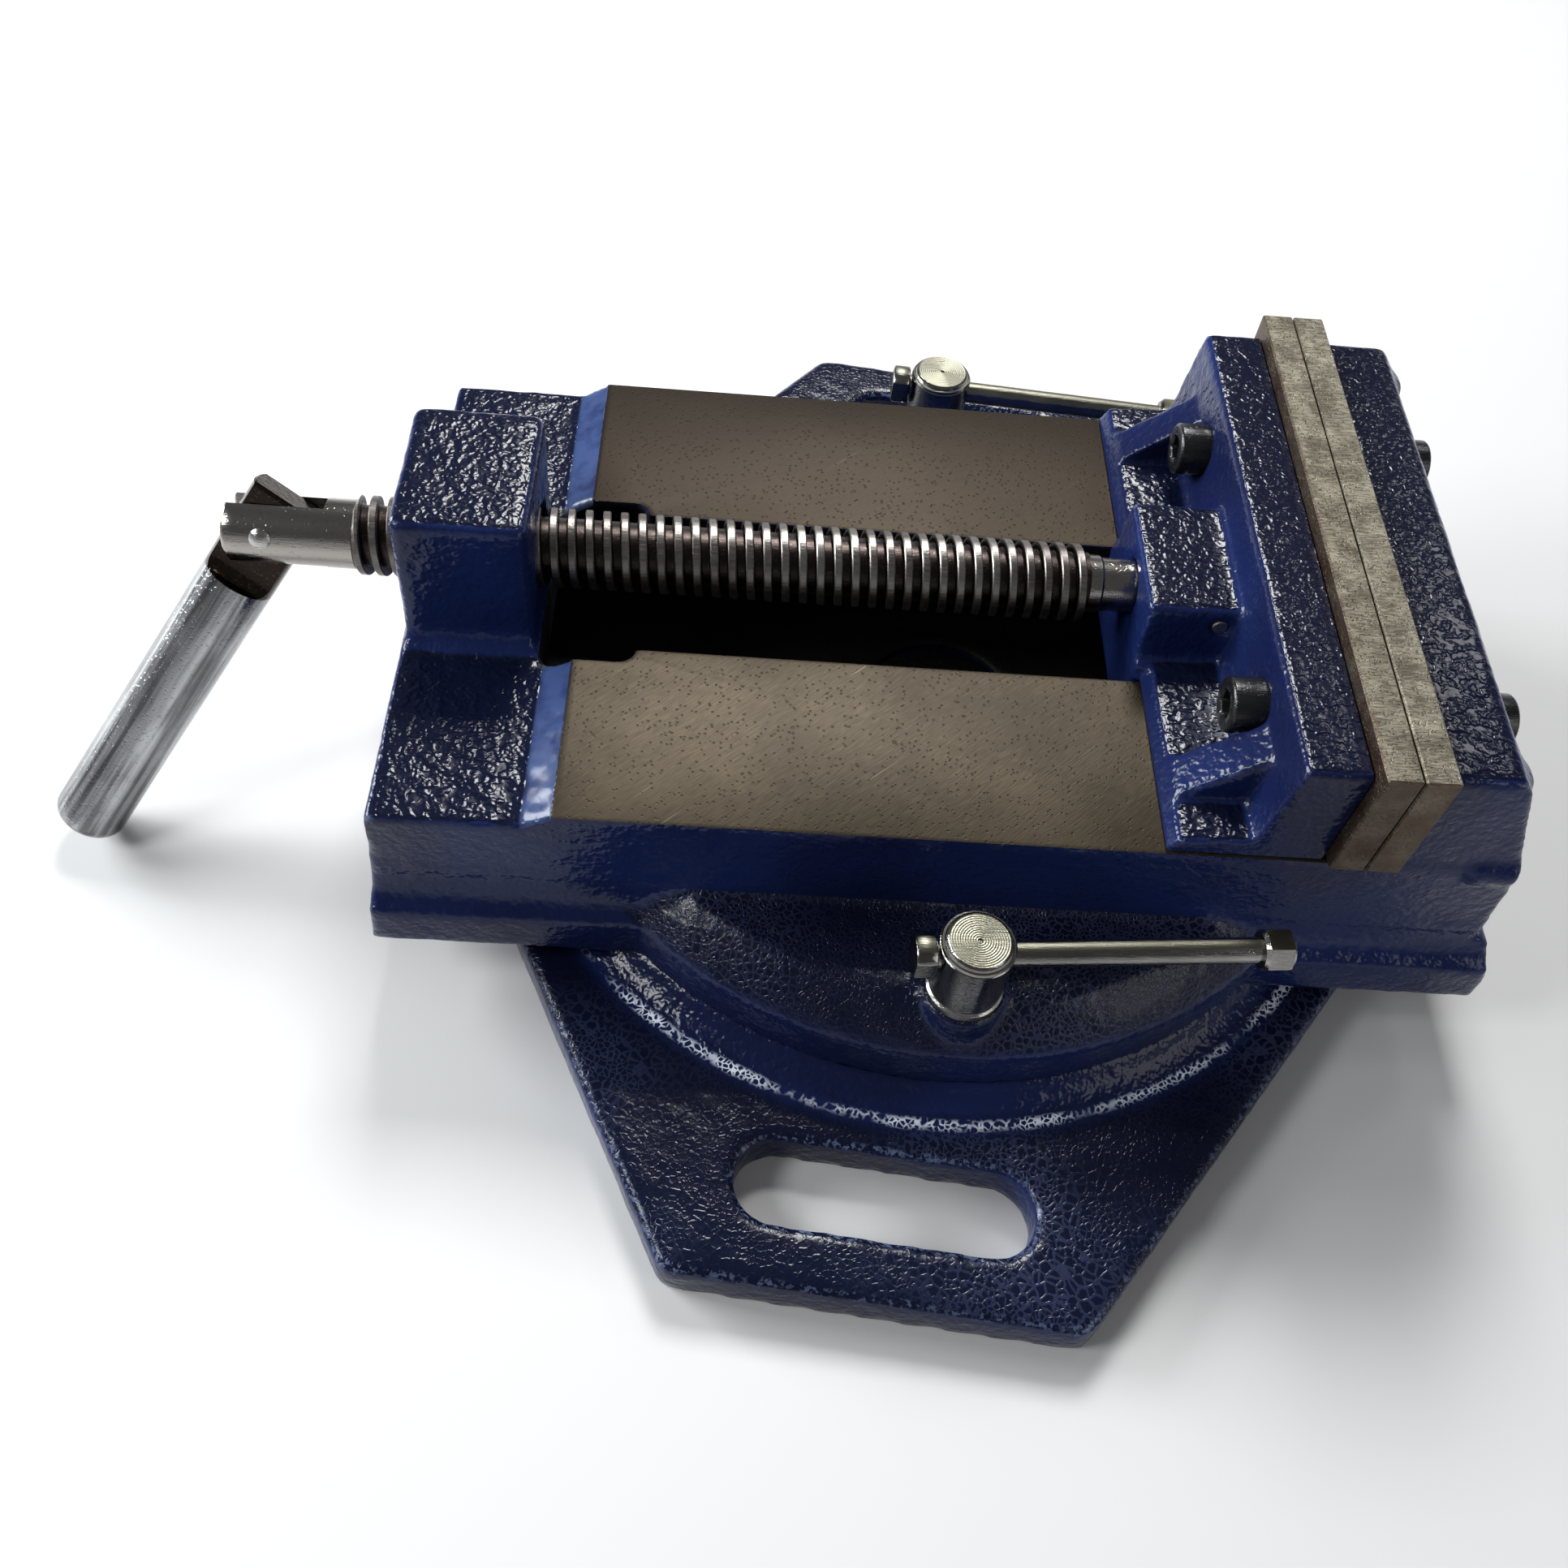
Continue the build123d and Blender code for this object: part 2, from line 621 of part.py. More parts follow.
with BuildPart() as clamp_washers:
    with BuildSketch(Plane.XY.offset(pad_top)):
        with Locations(*bolt_places):
            Circle(washer_radius)
            Circle(bolt_radius + 0.3, mode=Mode.SUBTRACT)
    extrude(amount=washer_thickness)
    chamfer(faces().sort_by(Axis.Z)[-2:].edges().filter_by(lambda e: e.radius > bolt_radius + 1), 0.5)
save(clamp_washers, "clamp_washers")

for name, side in (("near", -1), ("far", 1)):
    bar_frame = Plane.XY.move(Location((0, side * clamp_radius, bar_z))).rotated((0, 0, bar_turn[name]))
    across = Plane(origin=bar_frame.origin, x_dir=bar_frame.y_dir, z_dir=bar_frame.x_dir)

    with BuildPart() as clamp_nut:
        with BuildSketch(bar_frame.offset(nut_bottom - bar_z)):
            Circle(nut_radius)
        extrude(amount=nut_top - nut_bottom)
        chamfer(faces().sort_by(Axis.Z)[-1].edges(), 1.8)
        chamfer(faces().sort_by(Axis.Z)[0].edges(), 0.7)
        with BuildSketch(bar_frame.offset(nut_bottom - bar_z)):
            Circle(bolt_radius + fit_gap)
        extrude(amount=bolt_top + 0.4 - nut_bottom, mode=Mode.SUBTRACT)
        with BuildSketch(across):
            Circle(bar_radius + fit_gap)
        extrude(amount=2 * nut_radius, both=True, mode=Mode.SUBTRACT)
    save(clamp_nut, f"{name}_clamp_nut")

    # bar with the head that is forged on
    with BuildPart() as clamp_bar:
        with BuildSketch(across.offset(-bar_head_start - 1.0)):
            Circle(bar_radius)
        extrude(amount=bar_end + bar_head_start + 1.0 - 0.6)
        with BuildSketch(across.offset(-bar_head_start - left_head_length)):
            Circle(left_head_radius)
            Rectangle(2 * left_head_flat, 3 * left_head_radius, mode=Mode.INTERSECT)
        extrude(amount=left_head_length)
    save(clamp_bar, f"{name}_clamp_bar")

    # hexagonal head pressed on the other end
    with BuildPart() as bar_knob:
        with BuildSketch(across.offset(bar_end - right_head_length)):
            RegularPolygon(right_head_across / 2, 6, major_radius=False)
            Circle(bar_radius + 0.02, mode=Mode.SUBTRACT)
        extrude(amount=right_head_length)
    save(bar_knob, f"{name}_bar_knob")
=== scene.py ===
import bmesh
import bpy
import json
import math
import numpy as np
from mathutils import Matrix, Quaternion, Vector


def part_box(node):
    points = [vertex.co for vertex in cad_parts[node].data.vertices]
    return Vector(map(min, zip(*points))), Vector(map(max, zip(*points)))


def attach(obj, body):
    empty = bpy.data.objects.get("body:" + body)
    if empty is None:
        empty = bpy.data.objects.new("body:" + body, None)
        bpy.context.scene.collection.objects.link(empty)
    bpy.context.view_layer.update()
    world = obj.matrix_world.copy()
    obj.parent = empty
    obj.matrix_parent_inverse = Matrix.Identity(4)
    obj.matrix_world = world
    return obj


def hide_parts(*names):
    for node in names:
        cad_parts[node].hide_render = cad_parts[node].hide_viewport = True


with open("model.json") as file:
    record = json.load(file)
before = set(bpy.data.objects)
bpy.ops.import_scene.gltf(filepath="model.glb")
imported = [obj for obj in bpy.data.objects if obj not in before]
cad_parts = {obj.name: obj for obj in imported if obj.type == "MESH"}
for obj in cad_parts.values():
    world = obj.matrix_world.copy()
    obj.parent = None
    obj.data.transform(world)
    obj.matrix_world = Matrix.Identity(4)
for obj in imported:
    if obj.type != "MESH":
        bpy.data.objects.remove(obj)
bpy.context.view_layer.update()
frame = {"nodes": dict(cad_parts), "record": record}
nodeObjects = frame["nodes"]
bodyOf = {n: b for b, names in frame["record"]["behaviour"]["bodies"].items() for n in names}
slotOf = {s["node"]: s["material_slot"] for s in frame["record"]["subparts"]}
print("frame loaded,", len(nodeObjects), "nodes")


# camera, floor and lights

cameraSettings = {
    "place": (-0.0608, -0.2588, 0.3430),
    "azimuth": -4.93,
    "elevation": 53.95,
    "roll": 7.39,
    "lens": 34.5,
    "sensor": 36.0,
}


def placeCamera(settings):
    camera = bpy.data.objects.new("camera", bpy.data.cameras.new("camera"))
    bpy.context.scene.collection.objects.link(camera)
    camera.data.lens = settings["lens"]
    camera.data.sensor_width = settings["sensor"]
    camera.data.clip_start = 0.01
    camera.location = settings["place"]
    azimuth, elevation = math.radians(settings["azimuth"]), math.radians(settings["elevation"])
    look = Vector((-math.sin(azimuth) * math.cos(elevation),
                   math.cos(azimuth) * math.cos(elevation), -math.sin(elevation)))
    camera.rotation_mode = "QUATERNION"
    camera.rotation_quaternion = (look.to_track_quat("-Z", "Y")
                                  @ Quaternion((0, 0, 1), math.radians(settings["roll"])))
    bpy.context.scene.camera = camera


lightSettings = {
    "backPanel": {"place": (0.00, 0.80, 1.05), "size": 0.40, "power": 19.0, "tint": (1.0, 1.0, 1.0)},
    "sidePanel": {"place": (0.75, 0.75, 0.95), "size": 0.22, "power": 1.3, "tint": (1.0, 1.0, 1.0)},
    "leftPanel": {"place": (-1.00, 0.28, 0.42), "size": 0.50, "power": 19.0, "tint": (0.95, 0.98, 1.0)},
    "cornerPanel": {"place": (-0.85, -0.30, 0.75), "size": 0.30, "power": 6.0, "tint": (0.97, 0.99, 1.0)},
    "rightPanel": {"place": (0.95, -0.65, 0.65), "size": 0.6, "power": 2.5, "tint": (1.0, 0.99, 0.97)},
}
skySettings = {"horizon": 0.62, "ceiling": 0.13, "low": 0.02, "high": 0.40, "tint": (0.95, 0.96, 1.0, 1.0)}
lampTarget = (0.0, 0.0, 0.05)


def lightStudio(settings, sky):
    target = Vector(lampTarget)
    for name, one in settings.items():
        lamp = bpy.data.lights.new(name, "AREA")
        lamp.shape = "SQUARE"
        lamp.size = one["size"]
        lamp.energy = one["power"]
        lamp.color = one["tint"]
        holder = bpy.data.objects.new(name, lamp)
        holder.location = one["place"]
        holder.rotation_mode = "QUATERNION"
        holder.rotation_quaternion = (target - holder.location).to_track_quat("-Z", "Y")
        bpy.context.scene.collection.objects.link(holder)
    world = bpy.data.worlds.new("studio")
    world.use_nodes = True
    tree = world.node_tree
    background = tree.nodes["Background"]
    background.inputs["Color"].default_value = sky["tint"]
    # a pale band at the horizon that fades to a dimmer ceiling
    rise = addNode(tree, "ShaderNodeSeparateXYZ", {0: addNode(tree, "ShaderNodeTexCoord").outputs["Generated"]})
    strength = smoothRange(tree, rise.outputs["Z"], sky["low"], sky["high"], sky["horizon"], sky["ceiling"])
    tree.links.new(strength, background.inputs["Strength"])
    bpy.context.scene.world = world
    bpy.context.scene.view_settings.view_transform = "Standard"


# small helpers for node trees and meshes

def newMaterial(name):
    material = bpy.data.materials.new(name)
    material.use_nodes = True
    tree = material.node_tree
    return material, tree, tree.nodes["Principled BSDF"]


def addNode(tree, kind, inputs=None, **settings):
    # inputs maps a socket's name or number to a value or to another node's output
    node = tree.nodes.new(kind)
    for key, value in settings.items():
        setattr(node, key, value)
    for key, value in (inputs or {}).items():
        if isinstance(value, bpy.types.NodeSocket):
            tree.links.new(value, node.inputs[key])
        else:
            node.inputs[key].default_value = value
    return node


def math2(tree, operation, first, second=0.0, clamp=False):
    return addNode(tree, "ShaderNodeMath", {0: first, 1: second},
                   operation=operation, use_clamp=clamp).outputs[0]


def smoothRange(tree, value, low, high, start=0.0, end=1.0):
    return addNode(tree, "ShaderNodeMapRange",
                   {"Value": value, "From Min": low, "From Max": high, "To Min": start, "To Max": end},
                   interpolation_type="SMOOTHSTEP").outputs["Result"]


def mixColour(tree, share, first, second):
    return addNode(tree, "ShaderNodeMix", {"Factor": share, 6: first, 7: second},
                   data_type="RGBA").outputs[2]


def mixNumber(tree, share, first, second):
    return addNode(tree, "ShaderNodeMix", {"Factor": share, 2: first, 3: second},
                   data_type="FLOAT").outputs[0]


def noiseAt(tree, place, size, detail=3.0, roughness=0.55):
    # noise whose features are about size metres across
    return addNode(tree, "ShaderNodeTexNoise",
                   {"Vector": place, "Scale": 0.5 / size, "Detail": detail, "Roughness": roughness}).outputs[0]


def cellsAt(tree, place, size, feature="F1"):
    # cells about size metres across; feature says whether the distance is to a middle or to an edge
    return addNode(tree, "ShaderNodeTexVoronoi", {"Vector": place, "Scale": 1.0 / size},
                   feature=feature).outputs["Distance"]


def finishPiece(piece, material, node, sharpAngle=35.0):
    piece.data.materials.clear()
    piece.data.materials.append(material)
    piece.data.shade_smooth()
    piece.data.set_sharp_from_angle(angle=math.radians(sharpAngle))
    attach(piece, bodyOf[node])
    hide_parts(node)


def joinShells(shells):
    # several shells, each (points, faces), as one list of points and one of faces
    points, faces, start = [], [], 0
    for shellPoints, shellFaces in shells:
        points.append(shellPoints)
        faces += [tuple(int(i) + start for i in face) for face in shellFaces]
        start += len(shellPoints)
    return np.concatenate(points), faces


def numpyPiece(name, shells, material, node, attributes=None, sharpAngle=35.0):
    points, faces = joinShells(shells)
    mesh = bpy.data.meshes.new(name)
    mesh.from_pydata(points.tolist(), [], faces)
    for key, values in (attributes or {}).items():
        mesh.attributes.new(key, "FLOAT", "POINT").data.foreach_set("value", values)
    form = bmesh.new()
    form.from_mesh(mesh)
    bmesh.ops.remove_doubles(form, verts=form.verts, dist=1e-7)
    bmesh.ops.holes_fill(form, edges=[e for e in form.edges if e.is_boundary], sides=0)
    bmesh.ops.recalc_face_normals(form, faces=form.faces)
    form.to_mesh(mesh)
    form.free()
    piece = bpy.data.objects.new(name, mesh)
    bpy.context.scene.collection.objects.link(piece)
    finishPiece(piece, material, node, sharpAngle)
    print("made", name, len(mesh.polygons), "faces")
    return piece


def ringShell(rings):
    # rings is an array (rings, points round, 3); each ring is joined to the next by four-sided faces,
    # and the first and last are closed by a fan to their middle point
    count, around = rings.shape[:2]
    index = np.arange(count * around).reshape(count, around)
    turned = np.roll(index, -1, axis=1)
    walls = np.stack([index[:-1], turned[:-1], turned[1:], index[1:]], -1).reshape(-1, 4)
    middles = np.array([rings[0].mean(0), rings[-1].mean(0)])
    low, high = count * around, count * around + 1
    fanLow = np.stack([turned[0], index[0], np.full(around, low)], -1)
    fanHigh = np.stack([index[-1], turned[-1], np.full(around, high)], -1)
    return np.concatenate([rings.reshape(-1, 3), middles]), [*walls.tolist(), *fanLow.tolist(), *fanHigh.tolist()]


def turnedShell(origin, axis, side, profile, around=72, shape=None):
    # a profile carried round an axis: point = origin + axis * station + radius * (cos a * side + sin a * up);
    # profile rows are (station, radius) or (station, radius, share), where share blends the round
    # outline into shape(a), a factor on the radius
    axis, side = np.array(axis, float), np.array(side, float)
    up = np.cross(axis, side)
    angle = np.arange(around) * 2 * np.pi / around
    rows = np.array([(*row, 0.0) if len(row) == 2 else row for row in profile])
    factor = 1.0 + rows[:, 2:3] * ((shape(angle) if shape else np.ones(around))[None, :] - 1.0)
    radius = rows[:, 1:2] * factor
    spoke = np.cos(angle)[:, None] * side + np.sin(angle)[:, None] * up
    rings = np.array(origin) + rows[:, 0, None, None] * axis + radius[:, :, None] * spoke[None]
    return ringShell(rings)


def hexOutline(angle):
    # the edge of a hexagon whose flats touch the unit circle: 1 / cos(angle from the nearest flat's middle)
    return 1.0 / np.cos(np.mod(angle, np.pi / 3) - np.pi / 6)


# castings: the CAD skin is resampled evenly, its edges are softened as sand casting leaves them,
# and the machined faces keep their place

castSettings = {
    "swivel_base": {"piece": "swivelBase", "cell": 0.00110, "passes": 6, "lumps": 0.00006, "triangles": 170000,
                    "held": []},
    # held boxes: the rails' tops and the seats of the jaw plates
    "vise_body": {"piece": "viseBody", "cell": 0.00105, "passes": 4, "lumps": 0.00007, "triangles": 190000,
                  "held": [((-0.0952, -0.0738, 0.0679), (0.0932, 0.0738, 0.0692)),
                           ((0.0932, -0.0730, 0.0695), (0.0945, 0.0730, 0.1010))]},
    "movable_jaw": {"piece": "movableJaw", "cell": 0.00085, "passes": 4, "lumps": 0.00006, "triangles": 150000,
                    "held": [((0.0772, -0.0730, 0.0685), (0.0785, 0.0730, 0.1008)),
                             ((0.0400, -0.0730, 0.0685), (0.0785, 0.0730, 0.0695))]},
}
hollowSettings = {"slotHalf": 0.0230, "slotWide": 0.0270, "slotTop": 0.0681, "slotX": (-0.1030, 0.0885),
                  "wideEnd": -0.0790, "cavityHalf": 0.0605, "cavityTop": 0.0524, "cavityX": (-0.1245, 0.1065),
                  "floor": 0.028}
spigotSettings = {"radius": 0.0212, "foot": 0.0175, "ringRadius": 0.0948, "ringHalf": 0.0118, "ringFloor": 0.002}
seamSettings = {"height": 0.0435, "width": 0.0019, "rise": 0.00030}
coveRing = {"radius": 0.1155, "width": 0.0023}
lumpSettings = {"long": 0.017, "short": 0.0042, "shortShare": 0.8}
wearAndGlintGain = 2.4
nutClearance = 0.016


def neighbourMean(points, edges):
    # the mean place of each point's neighbours along the mesh's edges
    ends, others = np.concatenate([edges[:, 0], edges[:, 1]]), np.concatenate([edges[:, 1], edges[:, 0]])
    count = np.maximum(np.bincount(ends, minlength=len(points)), 1)
    total = np.stack([np.bincount(ends, points[others, k], len(points)) for k in range(3)], 1)
    return total / count[:, None]


def lumpyField(points, size, seed):
    # a smooth bumpy field: the sum of ten plane waves in seeded directions, each of wavelength near size
    chance = np.random.default_rng(seed)
    directions = chance.normal(size=(10, 3))
    directions /= np.linalg.norm(directions, axis=1)[:, None]
    lengths = size * chance.uniform(0.7, 1.6, 10)
    phases = chance.uniform(0, 2 * np.pi, 10)
    waves = np.sin(points @ (directions * (2 * np.pi / lengths)[:, None]).T + phases)
    return waves.sum(1) / np.sqrt(10)


def meshArrays(mesh):
    points = np.empty(len(mesh.vertices) * 3)
    mesh.vertices.foreach_get("co", points)
    edges = np.empty(len(mesh.edges) * 2, np.int32)
    mesh.edges.foreach_get("vertices", edges)
    normals = np.empty(len(mesh.vertices) * 3)
    mesh.vertices.foreach_get("normal", normals)
    return points.reshape(-1, 3), edges.reshape(-1, 2).astype(np.int64), normals.reshape(-1, 3)


def applyModifiers(piece):
    graph = bpy.context.evaluated_depsgraph_get()
    baked = bpy.data.meshes.new_from_object(piece.evaluated_get(graph))
    piece.modifiers.clear()
    old = piece.data
    piece.data = baked
    bpy.data.meshes.remove(old)


def hollowShare(points):
    # 1 inside the slot between the rails and in the hollow under them, which are painted black: painted shade
    s = hollowSettings
    x, y, z = points.T
    y = np.abs(y)
    width = np.where(x < s["wideEnd"], s["slotWide"], s["slotHalf"])
    (slotLow, slotHigh), (cavityLow, cavityHigh) = s["slotX"], s["cavityX"]
    inSlot = (y < width) & (z < s["slotTop"]) & (x > slotLow) & (x < slotHigh)
    inCavity = (y < s["cavityHalf"]) & (z < s["cavityTop"]) & (x > cavityLow) & (x < cavityHigh)
    return ((inSlot | inCavity) & (z > s["floor"])).astype(float)


def spigotShare(points, node):
    # 1 on the base's spigot and inside its T-slot, which are painted black: painted shade
    s = spigotSettings
    around, z = np.hypot(points[:, 0], points[:, 1]), points[:, 2]
    onSpigot = (around < s["radius"]) & (z > s["foot"])
    inRing = (np.abs(around - s["ringRadius"]) < s["ringHalf"]) & (z > s["ringFloor"])
    return ((onSpigot | inRing) & (node == "swivel_base")).astype(float)


def castSkin(node, settings, material):
    mesh = nodeObjects[node].data.copy()
    form = bmesh.new()
    form.from_mesh(mesh)
    bmesh.ops.remove_doubles(form, verts=form.verts, dist=1e-6)
    form.to_mesh(mesh)
    form.free()
    piece = bpy.data.objects.new(settings["piece"], mesh)
    bpy.context.scene.collection.objects.link(piece)
    remesh = piece.modifiers.new("even", "REMESH")
    remesh.mode = "VOXEL"
    remesh.voxel_size = settings["cell"]
    applyModifiers(piece)
    points, edges, normals = meshArrays(piece.data)
    first = points.copy()
    held = np.zeros(len(points), bool)
    for low, high in settings["held"]:
        held |= np.all((points > low) & (points < high), axis=1)
    free = (~held).astype(float)[:, None]
    for sweep in range(settings["passes"]):
        points += 0.5 * free * (neighbourMean(points, edges) - points)
    inward = np.einsum("ij,ij->i", points - first, normals) / settings["cell"]
    for sweep in range(2):
        inward = neighbourMean(inward[:, None] * np.ones(3), edges)[:, 0]
    if node == "vise_body":
        # the mould's joint leaves a low ridge along the walls: rise * exp(-(height above the joint / width)^2)
        above = (first[:, 2] - seamSettings["height"]) / seamSettings["width"]
        ridge = seamSettings["rise"] * np.exp(-above ** 2)
        points += normals * (ridge * (np.abs(normals[:, 1]) > 0.9))[:, None]
    # two lumpy fields, one long and one short, move the skin along its normals
    bumps = (lumpyField(first, lumpSettings["long"], 3)
             + lumpSettings["shortShare"] * lumpyField(first, lumpSettings["short"], 5))
    points += normals * bumps[:, None] * settings["lumps"] * free
    points = np.clip(points, *[np.array(corner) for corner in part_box(node)])
    points[first[:, 2] < 0.5 * settings["cell"], 2] = 0.0
    piece.data.vertices.foreach_set("co", points.ravel())
    nuts = [np.mean(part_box(end + "_clamp_nut"), axis=0) for end in ("near", "far")]
    away = np.min([np.hypot(first[:, 0] - nut[0], first[:, 1] - nut[1]) for nut in nuts], axis=0)
    # where smoothing moved the skin inwards an edge is painted paler, partly wear and partly a painted highlight,
    # and where it moved outwards a corner is painted dark as painted shade
    attributes = {"wearAndGlint": np.clip(-inward * wearAndGlintGain, 0, 1) * (away > nutClearance),
                  "creviceShade": np.clip(inward * wearAndGlintGain, 0, 1),
                  "paintedHollowShade": hollowShare(first) if node == "vise_body" else spigotShare(first, node)}
    # the cove ring round the base is marked for a painted sheen and painted glints
    spread = (np.hypot(first[:, 0], first[:, 1]) - coveRing["radius"]) / coveRing["width"]
    attributes["coveSheen"] = np.exp(-spread ** 2) if node == "swivel_base" else np.zeros(len(first))
    for key, values in attributes.items():
        piece.data.attributes.new(key, "FLOAT", "POINT").data.foreach_set("value", values)
    piece.data.update()
    piece.data.calc_loop_triangles()
    thin = piece.modifiers.new("thin", "DECIMATE")
    thin.ratio = min(1.0, settings["triangles"] / len(piece.data.loop_triangles))
    applyModifiers(piece)
    finishPiece(piece, material, node, 40.0)
    print("cast", settings["piece"], len(first), "points,", len(piece.data.polygons), "faces")
    return piece


# hammered enamel over iron, with ground rails where the casting is machined

paintSettings = {
    "deep": (0.0030, 0.0045, 0.0155, 1.0),
    "web": (0.0210, 0.0260, 0.0600, 1.0),
    "royal": (0.0072, 0.0150, 0.0700, 1.0),
    "navy": (0.0050, 0.0082, 0.0360, 1.0),
    "wornAndGlinting": (0.20, 0.27, 0.46, 1.0),
    "glintWhite": (0.70, 0.75, 0.85, 1.0),
    "paintedShade": (0.0015, 0.0015, 0.0018, 1.0),
    "roughness": 0.18,
    "gloss": 0.21,
    "beadSize": 0.0010,
    "beadRise": 0.31,
    "grainSize": 0.0009,
    "patchSize": 0.035,
    "speckleSize": 0.0006,
    "bumpDistance": 0.0005,
    "hollowRoughness": 0.6,
}
groundSettings = {
    "light": (0.057, 0.045, 0.030, 1.0),
    "dark": (0.024, 0.019, 0.013, 1.0),
    "scratched": (0.22, 0.19, 0.15, 1.0),
    "farRailShade": (0.0115, 0.0075, 0.0045, 1.0),
    "roughness": 0.46,
    "metallic": 0.75,
    "rampLight": (0.042, 0.070, 0.165, 1.0),
    "rampLow": (-0.1023, -0.1016),
    "rampHigh": (-0.0950, -0.0946),
    "rampFoot": 0.0605,
    "railTop": 0.0687,
    "railBand": 0.00022,
    "railStart": -0.0946,
}


def attributeOf(tree, name):
    return addNode(tree, "ShaderNodeAttribute", attribute_name=name).outputs["Fac"]


def enamel(name, settings, pitSize, pitRise, pitBelow, pitRadii, machined=False):
    # faces that look up are painted nearly black with wet-looking beads and the sides bluer, painted shade and
    # painted light by facing; below the height pitBelow, and between the two pitRadii from the swivel axis, they
    # carry a web of round dark pits; edges are painted pale, partly wear and partly painted highlight, corners and
    # hollows get painted shade, and the cove ring a painted sheen
    material, tree, shader = newMaterial(name)
    coords = addNode(tree, "ShaderNodeTexCoord")
    place, facing = coords.outputs["Object"], coords.outputs["Normal"]
    up = addNode(tree, "ShaderNodeSeparateXYZ", {0: facing}).outputs["Z"]
    height = addNode(tree, "ShaderNodeSeparateXYZ", {0: place}).outputs["Z"]
    level = addNode(tree, "ShaderNodeVectorMath", {0: place, 1: (1.0, 1.0, 0.0)}, operation="MULTIPLY").outputs[0]
    radius = addNode(tree, "ShaderNodeVectorMath", {0: level}, operation="LENGTH").outputs["Value"]
    pitted = math2(tree, "MULTIPLY", smoothRange(tree, height, pitBelow - 0.002, pitBelow, 1.0, 0.0),
                   math2(tree, "MULTIPLY", smoothRange(tree, radius, pitRadii[0], pitRadii[0] + 0.002),
                         smoothRange(tree, radius, pitRadii[1], pitRadii[1] + 0.002, 1.0, 0.0)))
    upward = mixNumber(tree, pitted, smoothRange(tree, up, 0.90, 0.97), smoothRange(tree, up, 0.45, 0.72))
    # a ripple about a millimetre high bends the cells, so that no wall between pits is straight
    ripple = addNode(tree, "ShaderNodeTexNoise", {"Vector": place, "Scale": 420.0, "Detail": 1.0}).outputs["Color"]
    warped = addNode(tree, "ShaderNodeMixRGB", {0: 0.0011, 1: place, 2: ripple}, blend_type="ADD").outputs[0]
    gap = cellsAt(tree, warped, pitSize, feature="DISTANCE_TO_EDGE")
    smallGap = cellsAt(tree, warped, pitSize * 0.6, feature="DISTANCE_TO_EDGE")
    gap = mixNumber(tree, smoothRange(tree, noiseAt(tree, place, 0.006), 0.40, 0.60), gap, smallGap)
    web = smoothRange(tree, gap, 0.05, 0.17, 1.0, 0.0)
    beads = smoothRange(tree, noiseAt(tree, warped, settings["beadSize"], detail=1.0), 0.36, 0.70)
    grain = noiseAt(tree, place, settings["grainSize"], detail=1.0)
    patch = smoothRange(tree, noiseAt(tree, place, settings["patchSize"], detail=2.0), 0.38, 0.66)
    sideColour = mixColour(tree, patch, settings["navy"], settings["royal"])
    # the web between the pits is painted paler: partly the hammered pattern, partly a painted highlight on its
    # ridges
    webColour = mixColour(tree, patch, settings["deep"], settings["web"])
    flatColour = mixColour(tree, math2(tree, "MULTIPLY", web, pitted), settings["deep"], webColour)
    # one enamel is painted near-black on the tops and a brighter blue on the sides: painted shade and painted
    # light by facing
    colour = mixColour(tree, upward, sideColour, flatColour)
    # the cove ring is painted a brighter blue: a painted sheen
    colour = mixColour(tree, math2(tree, "MULTIPLY", attributeOf(tree, "coveSheen"), 0.85), colour, settings["royal"])
    speckle = smoothRange(tree, noiseAt(tree, place, settings["speckleSize"], detail=2.0), 0.38, 0.60)
    # convex edges are painted paler: partly wear, partly a painted highlight along the edges
    wearAndGlint = smoothRange(tree, math2(tree, "MULTIPLY", attributeOf(tree, "wearAndGlint"), speckle), 0.34, 0.78, 0.0, 0.40)
    colour = mixColour(tree, wearAndGlint, colour, settings["wornAndGlinting"])
    # the web in the cove ring is painted near-white: painted glints
    coveSheen = math2(tree, "MULTIPLY", attributeOf(tree, "coveSheen"), noiseAt(tree, place, 0.012, detail=3.0))
    coveSheen = math2(tree, "MULTIPLY", smoothRange(tree, coveSheen, 0.30, 0.58), web)
    colour = mixColour(tree, coveSheen, colour, settings["glintWhite"])
    # concave corners are painted darker: painted shade
    creviceShade = smoothRange(tree, attributeOf(tree, "creviceShade"), 0.1, 0.8, 0.0, 0.6)
    colour = mixColour(tree, creviceShade, colour, settings["deep"])
    # the slot, the hollow, the spigot and the T-slot are painted black: painted shade
    paintedHollowShade = attributeOf(tree, "paintedHollowShade")
    colour = mixColour(tree, smoothRange(tree, paintedHollowShade, 0.4, 0.6), colour, settings["paintedShade"])
    sideRise = math2(tree, "ADD", math2(tree, "MULTIPLY", grain, 0.50), math2(tree, "MULTIPLY", beads, 0.10))
    beadRises = math2(tree, "ADD", math2(tree, "MULTIPLY", beads, settings["beadRise"]),
                      math2(tree, "MULTIPLY", grain, 0.15))
    pitRises = math2(tree, "ADD", math2(tree, "MULTIPLY", web, pitRise), math2(tree, "MULTIPLY", beads, 0.05))
    rise = mixNumber(tree, upward, sideRise, mixNumber(tree, pitted, beadRises, pitRises))
    roughness = mixNumber(tree, paintedHollowShade, settings["roughness"], settings["hollowRoughness"])
    if machined:
        ground = groundSettings
        split = addNode(tree, "ShaderNodeSeparateXYZ", {0: place})
